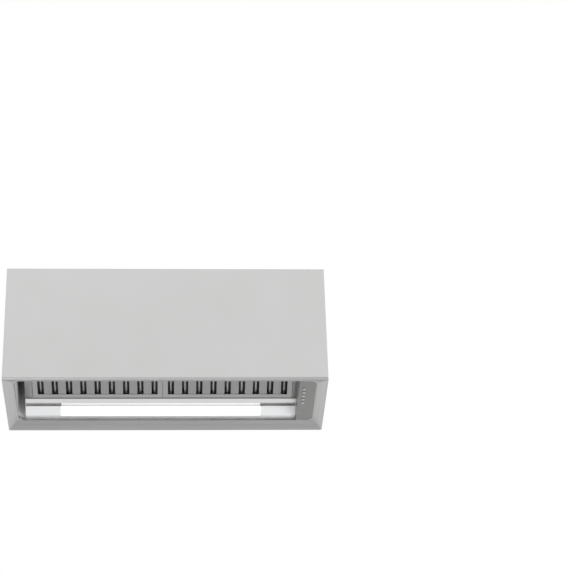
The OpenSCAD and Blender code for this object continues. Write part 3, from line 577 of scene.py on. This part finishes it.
for use in ("off", "low_speed", "medium_speed", "high_speed", "light"):
    button = use + "_button"
    low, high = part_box(button)
    middle = (low + high) / 2
    flange_r = (high.x - low.x) / 2
    cap_r = flange_r - cap_flange_w
    shape = turned([
        (0.3 * cap_r, low.z + cap_dish), (0.6 * cap_r, low.z + 0.8 * cap_dish),
        (0.82 * cap_r, low.z + 0.2 * cap_dish), (0.9 * cap_r, low.z),
        (0.97 * cap_r, low.z + 0.3 * cap_round), (cap_r, low.z + cap_round),
        (cap_r, high.z - cap_flange_t), (flange_r, high.z - cap_flange_t),
        (flange_r, high.z - cap_flange_round), (flange_r - cap_flange_round, high.z),
    ], cap_sides)
    shape.transform(Matrix.Translation((middle.x, middle.y, 0)))
    shape.shade_smooth()
    shape.set_sharp_from_angle(angle=math.radians(40))
    cap = new_piece(button + "_cap", shape, satin_nickel)
    show(cap, button, "button_plastic", button)

# Glass-filled nylon, moulded black: matt, with a fine grain.
black_nylon = fine_grained("moulded_black_nylon", "#222426", "#2B2D2F")
softened("button_guide", black_nylon, "hood", "black_plastic", moulded_edge)
softened("button_switches", black_nylon, "hood", "black_plastic", moulded_edge)

# Circuit board: green solder mask over copper, its tracks seen as a paler relief.
green_board, tree, shader, place = new_finish("solder_mask_green", Specular_IOR_Level=0.5)
tracks = add(tree, "ShaderNodeTexBrick", {
    "Vector": place, "Scale": 0.5 / track_pitch, "Brick Width": 0.5, "Row Height": 0.5,
    "Mortar Size": track_share, "Color1": linear("#1F5B38"), "Color2": linear("#276843"),
    "Mortar": linear("#3F8A5C")}).outputs
lay(tree, shader, tracks["Color"], tracks["Fac"], (0.3, 0.4), tracks["Fac"], track_depth)
softened("control_board", green_board, "hood", "circuit_board", board_edge)

# Filters
# Two stainless baffle filters side by side: a folded frame with slots in its face, shallow channels
# between the slots, and a trough over each slot that turns the fumes and drains their grease.
filter_tilt = math.radians(16)
filter_thick = 36 * mm
filter_sheet = 1 * mm
side_rail_w = 14 * mm
slot_count = 9
slot_w = 17.3 * mm
baffle_sheet = 0.8 * mm
baffle_h = 12 * mm
baffle_fold = 0.8 * mm
trough_lap = 5 * mm
trough_low = 10 * mm
crest_w = 4 * mm
rod_clear = 10 * mm
end_gap = 0.3 * mm
rail_edge = 0.35 * mm
mill_line = 0.8 * mm
frame_low, frame_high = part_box("left_filter_frame")
filter_w = frame_high.x - frame_low.x
filter_y = frame_high.y - filter_thick * math.sin(filter_tilt)
filter_z = frame_low.z
filter_l = (filter_y - frame_low.y) / math.cos(filter_tilt)
baffle_w = (filter_w - 2 * side_rail_w - slot_count * slot_w) / (slot_count - 1)
baffle_pitch = baffle_w + slot_w


def on_slope(x, y, z):
    """A place on the filters' slope, measured from the rear edge of their lower face."""
    cos, sin = math.cos(filter_tilt), math.sin(filter_tilt)
    return Vector((x, filter_y + y * cos + z * sin, filter_z - y * sin + z * cos))


# This tree rounds the folds of a flat outline, draws it out to a length, turns it onto its slope
# and repeats it in equal steps.
slat_tree, entry, slat_keys = start_tree(
    "repeated_slats", Outline=("Geometry", None), Length=("Float", 0.1), Tilt=("Float", 0.0),
    Place=("Vector", None), Step=("Vector", None), Count=("Int", 1), Finish=("Material", None))
fold = add(slat_tree, "GeometryNodeInputNamedAttribute", {"Name": "fold"},
           data_type="FLOAT").outputs["Attribute"]
line = add(slat_tree, "GeometryNodeMeshToCurve", {"Mesh": entry["Outline"]}).outputs[0]
folded = add(slat_tree, "GeometryNodeFilletCurve", {"Curve": line, "Radius": fold, "Count": 4},
             mode="POLY").outputs[0]
flat = add(slat_tree, "GeometryNodeFillCurve", {"Curve": folded}, mode="NGONS").outputs[0]
reach = add(slat_tree, "ShaderNodeCombineXYZ", {"Z": entry["Length"]}).outputs[0]
drawn = add(slat_tree, "GeometryNodeExtrudeMesh",
            {"Mesh": flat, "Offset": reach, "Offset Scale": 1.0, "Individual": False}).outputs[0]
back = add(slat_tree, "GeometryNodeFlipFaces", {"Mesh": flat}).outputs[0]
both = add(slat_tree, "GeometryNodeJoinGeometry", {0: drawn})
slat_tree.links.new(back, both.inputs[0])
closed = add(slat_tree, "GeometryNodeMergeByDistance",
             {"Geometry": both.outputs[0], "Distance": weld}).outputs[0]
lean = add(slat_tree, "ShaderNodeCombineXYZ", {"X": entry["Tilt"]}).outputs[0]
first = add(slat_tree, "GeometryNodeTransform",
            {"Geometry": closed, "Translation": entry["Place"], "Rotation": lean}).outputs[0]
row = add(slat_tree, "GeometryNodeMeshLine", {"Count": entry["Count"], "Offset": entry["Step"]}).outputs[0]
copies = add(slat_tree, "GeometryNodeInstanceOnPoints", {"Points": row, "Instance": first}).outputs[0]
end_tree(slat_tree, copies, entry["Finish"])


def slats(name, outline, length, place, step, count, finish, body, *stands_for):
    """Like slats as one piece: the outline's points carry the radius that each is folded at."""
    flat = bpy.data.meshes.new(name)
    corners = [(x, y, 0) for x, y, _ in outline]
    flat.from_pydata(corners, [(i, (i + 1) % len(corners)) for i in range(len(corners))], [])
    folds = flat.attributes.new("fold", "FLOAT", "POINT")
    folds.data.foreach_set("value", [radius for _, _, radius in outline])
    piece = grown(name, flat, slat_tree, slat_keys, Length=length, Tilt=math.pi / 2 - filter_tilt,
                  Place=place, Step=step, Count=count, Finish=finish)
    weigh_normals(piece)
    apply_modifiers(piece)
    show(piece, body, "filter_steel", *stands_for)


channel_outline = [
    (0, 0, 2 * baffle_fold), (baffle_w, 0, 2 * baffle_fold), (baffle_w, baffle_h, 0),
    (baffle_w - baffle_sheet, baffle_h, 0), (baffle_w - baffle_sheet, baffle_sheet, baffle_fold),
    (baffle_sheet, baffle_sheet, baffle_fold), (baffle_sheet, baffle_h, 0), (0, baffle_h, 0),
]
trough_high = filter_thick - filter_sheet
trough_w = slot_w + 2 * trough_lap
flare = (trough_w - crest_w) / 2 / (trough_high - trough_low)
inner_w = trough_w - 2 * flare * baffle_sheet
trough_outline = [
    (-trough_w / 2, trough_high, 0), (-crest_w / 2, trough_low, baffle_fold),
    (crest_w / 2, trough_low, baffle_fold), (trough_w / 2, trough_high, 0),
    (inner_w / 2, trough_high, 0), (crest_w / 2, trough_low + baffle_sheet, baffle_fold),
    (-crest_w / 2, trough_low + baffle_sheet, baffle_fold), (-inner_w / 2, trough_high, 0),
]
end_low = filter_sheet + baffle_h + end_gap
end_outline = [
    (filter_sheet, end_low, 0), (filter_w - filter_sheet, end_low, 0),
    (filter_w - filter_sheet, trough_high, 0), (filter_sheet, trough_high, 0),
]
filter_steel = brushed("brushed_stainless_filter", "#939393", "#A9A9A9", "Y", filter_tilt,
                       spread=(1, 0, 0))
rail_steel = brushed("brushed_stainless_rail", "#A2A2A2", "#B8B8B8", "X", filter_tilt, spread=(0, 1, 0))

# The troughs are left in their mill finish: a dull, pickled grey that scatters the light.
trough_steel = brushed("mill_finish_stainless", "#ACACAC", "#C4C4C4", "Y", filter_tilt, mill_line,
                       (0.58, 0.68))

aside = Vector((baffle_pitch, 0, 0))
channel_l = filter_l - filter_sheet - end_gap - rod_clear
trough_l = filter_l - 2 * filter_sheet
for side in ("left", "right"):
    body = side + "_filter"
    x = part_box(side + "_filter_frame")[0].x
    softened(side + "_filter_frame", rail_steel, body, "filter_steel", rail_edge)
    first = on_slope(x + side_rail_w + slot_w, -rod_clear, filter_sheet)
    slats(side + "_channels", channel_outline, channel_l, first, aside, slot_count - 1, filter_steel,
          body, side + "_lower_baffles")
    first = on_slope(x + side_rail_w + slot_w / 2, -filter_sheet, 0)
    slats(side + "_troughs", trough_outline, trough_l, first, aside, slot_count, trough_steel,
          body, side + "_upper_baffles")
    back = on_slope(x, -filter_sheet, 0)
    forward = on_slope(x, filter_sheet + baffle_sheet - filter_l, 0) - back
    slats(side + "_trough_ends", end_outline, baffle_sheet, back, forward, 2, rail_steel, body)

# Handles of the filters, and their clips
# Each filter has a bail bent from 4 mm stainless wire. Its two ends turn in folded clips that are
# spot-welded under the front rail, and it hangs down to be taken by two fingers.
wire_r = 2 * mm
wire_bend = 6 * mm
wire_end_r = 0.5 * mm
wire_sides = 20
clip_w = 8 * mm
clip_edge = 0.6 * mm
stub_past = 1 * mm
drawn_line = 0.4 * mm
drawn_gloss = (0.2, 0.3)
wire_steel = brushed("drawn_stainless_wire", "#A9A8A5", "#C6C4C1", "X", 0, drawn_line, drawn_gloss)


def rounded_path(corners, radius, steps=8):
    """A line through the corners, with a round bend of the radius at each inner one."""
    path = [corners[0]]
    for before, corner, after in zip(corners, corners[1:], corners[2:]):
        back = (before - corner).normalized()
        on = (after - corner).normalized()
        reach = radius / math.tan(back.angle(on) / 2)
        middle = corner + (back + on).normalized() * (radius / math.sin(back.angle(on) / 2))
        start = corner + back * reach - middle
        turn = math.pi - back.angle(on)
        axis = back.cross(on).normalized() * -1
        for step in range(steps + 1):
            path.append(middle + Matrix.Rotation(-turn * step / steps, 3, axis) @ start)
    return path + [corners[-1]]


def tube(path, radius, sides, end_r):
    """A closed round wire along a path that lies in one plane upright to Y, its ends rounded."""
    level = Vector((0, 1, 0))
    last = len(path) - 1
    rings = []
    for i, point in enumerate(path):
        way = (path[min(i + 1, last)] - path[max(i - 1, 0)]).normalized()
        upright = way.cross(level).normalized()
        steps = [(0, 0)]
        if i == 0:
            steps = [(0, 1), (0.3, 0.3), (1, 0)]
        if i == last:
            steps = [(-1, 0), (-0.3, 0.3), (0, 1)]
        for on_share, in_share in steps:
            centre = point + way * end_r * on_share
            reach = radius - end_r * in_share
            turns = [math.tau * k / sides for k in range(sides)]
            rings.append([centre + (upright * math.cos(t) + level * math.sin(t)) * reach for t in turns])
    mesh = joined_rings(rings, capped=True)
    mesh.shade_smooth()
    mesh.set_sharp_from_angle(angle=math.radians(50))
    return mesh


for side in ("left", "right"):
    low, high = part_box(side + "_handle")
    pivot_z = high.z - wire_r
    grip_z = low.z + wire_r
    y = (low.y + high.y) / 2
    leg_in = wire_bend + clip_w + stub_past
    corners = [
        Vector((low.x, y, pivot_z)), Vector((low.x + leg_in, y, pivot_z)),
        Vector((low.x + leg_in, y, grip_z)), Vector((high.x - leg_in, y, grip_z)),
        Vector((high.x - leg_in, y, pivot_z)), Vector((high.x, y, pivot_z)),
    ]
    mesh = tube(rounded_path(corners, wire_bend), wire_r, wire_sides, wire_end_r)
    wire = new_piece(side + "_bail_wire", mesh, wire_steel)
    show(wire, side + "_bail", "wire_steel", side + "_handle")
    softened(side + "_handle_clips", rail_steel, side + "_filter", "wire_steel", clip_edge, steps=3)

# Carrier of the filters, with its rod, magnets and screws
# A frame folded from 1.2 mm stainless hangs under the shelf on six screws. Both filters turn on the
# steel rod through it, and four nickel-plated magnets over its front rail hold them shut.
carrier_edge = 0.25 * mm
rod_edge = 0.3 * mm
magnet_edge = 0.5 * mm
screw_head_r = 3.6 * mm
screw_head_h = 2.2 * mm
screw_r = 1.9 * mm
thread_pitch = 1 * mm
screw_l = 8 * mm
screw_sides = 32
recess_r = 0.5 * screw_head_r
carrier_steel = brushed("brushed_stainless_carrier", "#9A9A9A", "#AEAEAE", "X", filter_tilt,
                        gloss=(0.4, 0.5), spread=(0, 1, 0))
softened("filter_carrier", carrier_steel, "hood", "rim_steel", carrier_edge)
rod_steel = brushed("drawn_steel_rod", "#9C9B99", "#B8B7B4", "X", 0, drawn_line, drawn_gloss)
softened("filter_rod", rod_steel, "hood", "screw_steel", rod_edge)

# Nickel plating on sintered magnet: a smooth, slightly yellow metal without any relief.
nickel = clouded("nickel_plating", "#A9A59B", "#B9B5AB", patch=3 * mm, detail=2, gloss=(0.18, 0.28),
                 depth=0)
softened("filter_magnets", nickel, "hood", "magnet", magnet_edge, steps=3)


def screw_shape():
    """A pan-head sheet screw: a tapered tip, ribs for its thread, a domed head and its cross."""
    profile = [(0.3 * screw_r, -screw_l), (0.8 * screw_r, 1.5 * thread_pitch - screw_l)]
    z = 2 * thread_pitch - screw_l
    while z < -0.5 * thread_pitch:
        profile += [(0.8 * screw_r, z - 0.35 * thread_pitch), (screw_r, z)]
        z += thread_pitch
    profile += [(0.8 * screw_r, -0.2 * thread_pitch), (0.8 * screw_r, 0), (0.97 * screw_head_r, 0),
                (screw_head_r, 0.15 * screw_head_h), (screw_head_r, 0.45 * screw_head_h),
                (0.93 * screw_head_r, 0.75 * screw_head_h), (0.78 * screw_head_r, 0.93 * screw_head_h),
                (0.62 * screw_head_r, screw_head_h)]
    cross = len(profile)
    profile += [(recess_r, screw_head_h), (0.9 * recess_r, 0.75 * screw_head_h),
                (0.5 * recess_r, 0.3 * screw_head_h)]
    return turned(profile, screw_sides, cross)


def screws(node):
    """Screws in the places of a node's solids, each turned by chance."""
    places = []
    for low, high in parts_of(node):
        places.append(((low.x + high.x) / 2, (low.y + high.y) / 2, high.z - screw_head_h))
    repeated(node + "_shown", screw_shape(), places, (0, 0, 1), bright_steel, "hood", "screw_steel", node,
             chance=len(node))


screws("carrier_screws")

# Light
# A folded housing of pre-painted steel with a cap at each end and an opal acrylic cover over its
# whole length. The board of LEDs is shorter, so the cover's ends stay dimmer, and a second, narrow
# opal strip in the groove above shines only over the board.
lit_low, lit_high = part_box("led_board")
light_tilt = math.radians(48)
glow_fade = 2 * mm
haze_patch = 12 * mm
haze_depth = 0.02 * mm
cover_edge = 0.6 * mm
strip_edge = 0.3 * mm
housing_edge = 0.2 * mm
cap_edge = 0.25 * mm
led_board_edge = 0.2 * mm
led_h = 0.8 * mm
led_sides = 16
phosphor_grain = 0.4 * mm


def opal(name, lit, unlit):
    """Opal acrylic: milky white, smooth and glossy. It glows evenly where the board of LEDs stands
    behind it, and hardly past the board's ends."""
    finish, tree, shader, place = new_finish(name, Roughness=0.25, IOR=1.49,
                                             Emission_Color=linear("#FFFFFF"))
    x = add(tree, "ShaderNodeSeparateXYZ", {"Vector": place}).outputs["X"]
    right_of_start = add(tree, "ShaderNodeMapRange", {
        "Value": x, "From Min": lit_low.x - glow_fade, "From Max": lit_low.x + glow_fade}).outputs[0]
    left_of_end = add(tree, "ShaderNodeMapRange", {
        "Value": x, "From Min": lit_high.x + glow_fade, "From Max": lit_high.x - glow_fade}).outputs[0]
    over_board = add(tree, "ShaderNodeMath", {0: right_of_start, 1: left_of_end},
                     operation="MULTIPLY").outputs[0]
    haze = add(tree, "ShaderNodeTexNoise",
               {"Vector": place, "Scale": 1 / haze_patch, "Detail": 2}).outputs[0]
    relief = add(tree, "ShaderNodeBump", {"Strength": 1, "Distance": haze_depth, "Height": haze})
    tree.links.new(between(tree, haze, "#ECEEEF", "#F3F5F6"), shader.inputs["Base Color"])
    tree.links.new(between(tree, over_board, unlit, lit), shader.inputs["Emission Strength"])
    tree.links.new(relief.outputs[0], shader.inputs["Normal"])
    return finish


cover_opal = opal("opal_acrylic", 1.2, 0.1)
strip_opal = opal("opal_acrylic_strip", 0.2, 0.05)
softened("light_diffuser", cover_opal, "hood", "opal_acrylic", cover_edge, steps=3)
softened("light_strip", strip_opal, "hood", "opal_acrylic", strip_edge)

# Coil-coated steel again, here in a smooth satin white that throws the light forward.
white_coat = fine_grained("coil_coated_steel_white", "#E4E4E3", "#EBEBEA",
                          coat_grain, coat_gloss, coat_depth)
softened("light_housing", white_coat, "hood", "painted_case", housing_edge)
softened("light_end_caps", white_coat, "hood", "painted_case", cap_edge)

# White solder mask on the aluminium board, and the yellow phosphor of the LEDs on it, lit.
white_board = fine_grained("solder_mask_white", "#E6E6E0", "#EFEFEA", grain=0.3 * mm, gloss=(0.3, 0.4),
                           depth=0.01 * mm)
softened("led_board", white_board, "hood", "led_chip", led_board_edge)
phosphor, tree, shader, place = new_finish("phosphor_in_silicone", Roughness=0.3, Emission_Strength=3,
                                           Emission_Color=linear("#FFF6DC"))
grains = add(tree, "ShaderNodeTexNoise",
             {"Vector": place, "Scale": 1 / phosphor_grain, "Detail": 2}).outputs[0]
tree.links.new(between(tree, grains, "#EFDD7A", "#F8EBA0"), shader.inputs["Base Color"])

leds = parts_of("leds")
led_half = (leds[0][1].x - leds[0][0].x) / 2
led_shape = turned([
    (led_half, 0), (led_half, 0.6 * led_h), (0.8 * led_half, 0.8 * led_h), (0.72 * led_half, 0.8 * led_h),
    (0.6 * led_half, 0.95 * led_h), (0.3 * led_half, led_h),
], led_sides)
out_of_light = Vector((0, -math.sin(light_tilt), -math.cos(light_tilt)))
led_places = [(a + b) / 2 - out_of_light * led_h / 2 for a, b in leds]
repeated("led_row", led_shape, led_places, out_of_light, phosphor, "hood", "led_chip", "leds", turn=0)

# Grease channel
# A trough folded from 1 mm stainless along the top of the light. Its face is what shows above the
# groove, and what the filters drain runs down into it.
channel_edge = 0.25 * mm
# Its stainless has a near-white tone, far lighter than the rest of the stainless: painted light on the
# face above the groove.
channel_steel = brushed("brushed_stainless_channel_painted_light", "#E9E9E8", "#F5F5F4", "X", light_tilt,
                        gloss=(0.3, 0.42), spread=(0, 1, 0))
softened("grease_channel", channel_steel, "hood", "rim_steel", channel_edge)

# Inner frame
# Angle posts in the corners, the shelf between recess and plenum, and plates behind the fixing
# holes, all cut from galvanised sheet and never painted.
cut_edge = 0.25 * mm
zinc_crystal = 9 * mm
zinc_bloom = 0.6 * mm
bloom_depth = 0.01 * mm

# Hot-dip galvanised steel: a blue-grey matt metal with the faint crystals of the zinc.
zinc, tree, shader, place = new_finish("galvanised_steel", Metallic=0.85)
crystals = add(tree, "ShaderNodeTexVoronoi",
               {"Vector": place, "Scale": 1 / zinc_crystal, "Randomness": 1}).outputs["Color"]
tone = add(tree, "ShaderNodeSeparateColor", {"Color": crystals}).outputs[0]
bloom = add(tree, "ShaderNodeTexNoise", {"Vector": place, "Scale": 1 / zinc_bloom, "Detail": 2}).outputs[0]
lay(tree, shader, between(tree, tone, "#98A0A4", "#B4BABD"), tone, (0.35, 0.55), bloom, bloom_depth)
for inner in ("corner_posts", "plenum_shelf", "fixing_plates"):
    softened(inner, zinc, "hood", "galvanised_steel", cut_edge)
screws("top_screws")

# Duct collar with its gasket and dampers
# A spun collar of galvanised steel on a foam gasket, held by four screws. Two half-round flaps on a
# steel axle across it open in the air stream and fall shut on its stop ring.
collar_edge = 0.3 * mm
axle_edge = 0.2 * mm
flap_edge = 0.2 * mm
gasket_edge = 0.4 * mm
foam_pore = 1 * mm
pore_depth = 0.15 * mm
softened("duct_collar", zinc, "hood", "galvanised_steel", collar_edge)
screws("collar_screws")
softened("damper_axle", rod_steel, "hood", "screw_steel", axle_edge)
for side in ("front", "rear"):
    softened(side + "_damper_flap", zinc, side + "_flap", "galvanised_steel", flap_edge)

# Cellular EPDM: a dull black foam whose cut edge shows its pores.
foam, tree, shader, place = new_finish("cellular_rubber", Roughness=0.9, Specular_IOR_Level=0.25)
pores = add(tree, "ShaderNodeTexVoronoi", {"Vector": place, "Scale": 1 / foam_pore}).outputs["Distance"]
relief = add(tree, "ShaderNodeBump", {"Strength": 1, "Distance": pore_depth, "Height": pores})
# The colour is darker towards the bottom of each pore: painted shade in the pits.
tree.links.new(between(tree, pores, "#19191A", "#2C2C2D"), shader.inputs["Base Color"])
tree.links.new(relief.outputs[0], shader.inputs["Normal"])
softened("collar_gasket", foam, "hood", "gasket_rubber", gasket_edge)

# Electrics
# A galvanised power box with its lid, a white nylon terminal block in it, the LED driver beside it
# and two black PVC cables along their real routes. The gland in the top takes the supply.
block_edge = 0.5 * mm
driver_edge = 1 * mm
cable_edge = 0.2 * mm
for sheet in ("power_box", "power_box_lid"):
    softened(sheet, zinc, "hood", "galvanised_steel", cut_edge)
white_nylon = fine_grained("moulded_white_nylon", "#E2E1DA", "#EBEAE4")
softened("terminal_block", white_nylon, "hood", "terminal_plastic", block_edge)
softened("led_driver", white_nylon, "hood", "terminal_plastic", driver_edge, steps=3)
sheath = fine_grained("extruded_pvc_sheath", "#1F2022", "#29292B", grain=0.8 * mm, gloss=(0.35, 0.5))
for cable in ("led_cable", "control_cable"):
    softened(cable, sheath, "hood", "cable_sheath", cable_edge)

# Gland
# Moulded in black nylon and clamped to the top panel: a hexagon with a ribbed clamping dome above
# it, a threaded neck through it, and a hexagon nut below it.
gland_low, gland_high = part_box("cable_gland")
gland_middle = (gland_low + gland_high) / 2
top_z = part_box("top_panel")[1].z
hexagon_h = 8 * mm
hexagon_r = 11 * mm
hexagon_round = 0.6 * mm
nut_h = 4 * mm
nut_r = (gland_high.x - gland_low.x) / 2
thread_r = 8 * mm
thread_round = 0.5 * mm
bore_r = 4 * mm
rib_count = 24
rib_depth_share = 0.05
gland_sides = 96


def gland_ring(radius, z, form="round"):
    """One ring of the gland: round, a hexagon inside the radius, or a round with ribs."""
    ring = []
    for side in range(gland_sides):
        turn = math.tau * side / gland_sides
        reach = radius
        if form == "hexagon":
            within = (turn + math.pi / 6) % (math.pi / 3) - math.pi / 6
            reach = radius * math.cos(math.pi / 6) / math.cos(within)
        if form == "ribs":
            reach = radius * (1 - rib_depth_share * (0.5 + 0.5 * math.cos(rib_count * turn)))
        ring.append((gland_middle.x + reach * math.cos(turn), gland_middle.y + reach * math.sin(turn), z))
    return ring


under = top_z - case_sheet
dome_low = top_z + hexagon_h
dome_h = gland_high.z - dome_low
mesh = joined_rings([
    gland_ring(bore_r, gland_low.z),
    gland_ring(thread_r - thread_round, gland_low.z),
    gland_ring(thread_r, gland_low.z + thread_round),
    gland_ring(thread_r, under - nut_h),
    gland_ring(0.95 * nut_r, under - nut_h, "hexagon"),
    gland_ring(nut_r, under - 0.85 * nut_h, "hexagon"),
    gland_ring(nut_r, under - 0.15 * nut_h, "hexagon"),
    gland_ring(0.95 * nut_r, under, "hexagon"),
    gland_ring(thread_r, under),
    gland_ring(thread_r, top_z),
    gland_ring(hexagon_r, top_z, "hexagon"),
    gland_ring(hexagon_r, dome_low - hexagon_round, "hexagon"),
    gland_ring(0.94 * hexagon_r, dome_low, "hexagon"),
    gland_ring(thread_r, dome_low, "ribs"),
    gland_ring(thread_r, dome_low + 0.55 * dome_h, "ribs"),
    gland_ring(0.95 * thread_r, dome_low + 0.75 * dome_h, "ribs"),
    gland_ring(0.82 * thread_r, dome_low + 0.92 * dome_h),
    gland_ring(0.65 * thread_r, gland_high.z),
    gland_ring(bore_r, gland_high.z),
    gland_ring(bore_r, gland_low.z),
])
mesh.shade_smooth()
mesh.set_sharp_from_angle(angle=math.radians(30))
gland = new_piece("gland", mesh, black_nylon)
show(gland, "hood", "black_plastic", "cable_gland")

# Studio
# A pale floor far below, an even white surround and five large soft lamps that the camera doesn't
# see: a key above, a fill in front, and three weak ones low down that lift the underside.
floor_z = -3.7
floor_half = 60
floor_glow = 0.25
studio_level = 0.75

# To the camera the floor glows a little, so that it meets the surround without an edge and still
# takes the hood's shadow.
corners = [(-1, -1), (1, -1), (1, 1), (-1, 1)]
mesh = bpy.data.meshes.new("floor")
mesh.from_pydata([(floor_half * x, floor_half * y, floor_z) for x, y in corners], [], [(0, 1, 2, 3)])
floor_paint, tree, shader, place = new_finish(
    "floor_paint", Roughness=0.9, Specular_IOR_Level=0.1, Base_Color=linear("#F2F2F2"),
    Emission_Color=linear("#FFFFFF"))
for_camera = add(tree, "ShaderNodeLightPath").outputs["Is Camera Ray"]
tree.links.new(between(tree, for_camera, 0, floor_glow), shader.inputs["Emission Strength"])
floor = new_piece("floor", mesh, floor_paint)

# The surround is white to the camera and in what metal mirrors, and dimmer as light.
world = bpy.data.worlds.new("studio")
world.use_nodes = True
bpy.context.scene.world = world
tree = world.node_tree
rays = add(tree, "ShaderNodeLightPath").outputs
shows = rays["Is Camera Ray"]
for kind in ("Is Glossy Ray", "Is Transmission Ray"):
    shows = add(tree, "ShaderNodeMath", {0: shows, 1: rays[kind]}, operation="MAXIMUM").outputs[0]
surround = tree.nodes["Background"].inputs
surround["Color"].default_value = linear("#FFFFFF")
tree.links.new(between(tree, shows, studio_level, 1.0), surround["Strength"])


def soft_lamp(name, place, aim, side, watts):
    """A square lamp of white light that points at a place."""
    data = bpy.data.lights.new(name, "AREA")
    data.size = side
    data.energy = watts
    lamp = bpy.data.objects.new(name, data)
    turn = (Vector(aim) - Vector(place)).to_track_quat("-Z", "Y").to_matrix().to_4x4()
    lamp.matrix_world = Matrix.Translation(place) @ turn
    lamp.visible_camera = False
    bpy.context.scene.collection.objects.link(lamp)


soft_lamp("key_lamp", (-1.6, -1.8, 3.2), (0, 0, 0.15), 2.5, 60)
soft_lamp("fill_lamp", (2.6, -1.8, -0.9), (0, 0, 0.1), 2.0, 20)
soft_lamp("low_lamp", (1.9, 0.2, -1.6), (0, 0, 0), 1.2, 15)
soft_lamp("left_lamp", (-1.1, 2.7, -1.1), (0, 0, 0), 1.2, 3)
soft_lamp("right_lamp", (1.1, 2.7, -1.1), (0, 0, 0), 1.2, 3)

bpy.context.scene.view_settings.view_transform = "Standard"
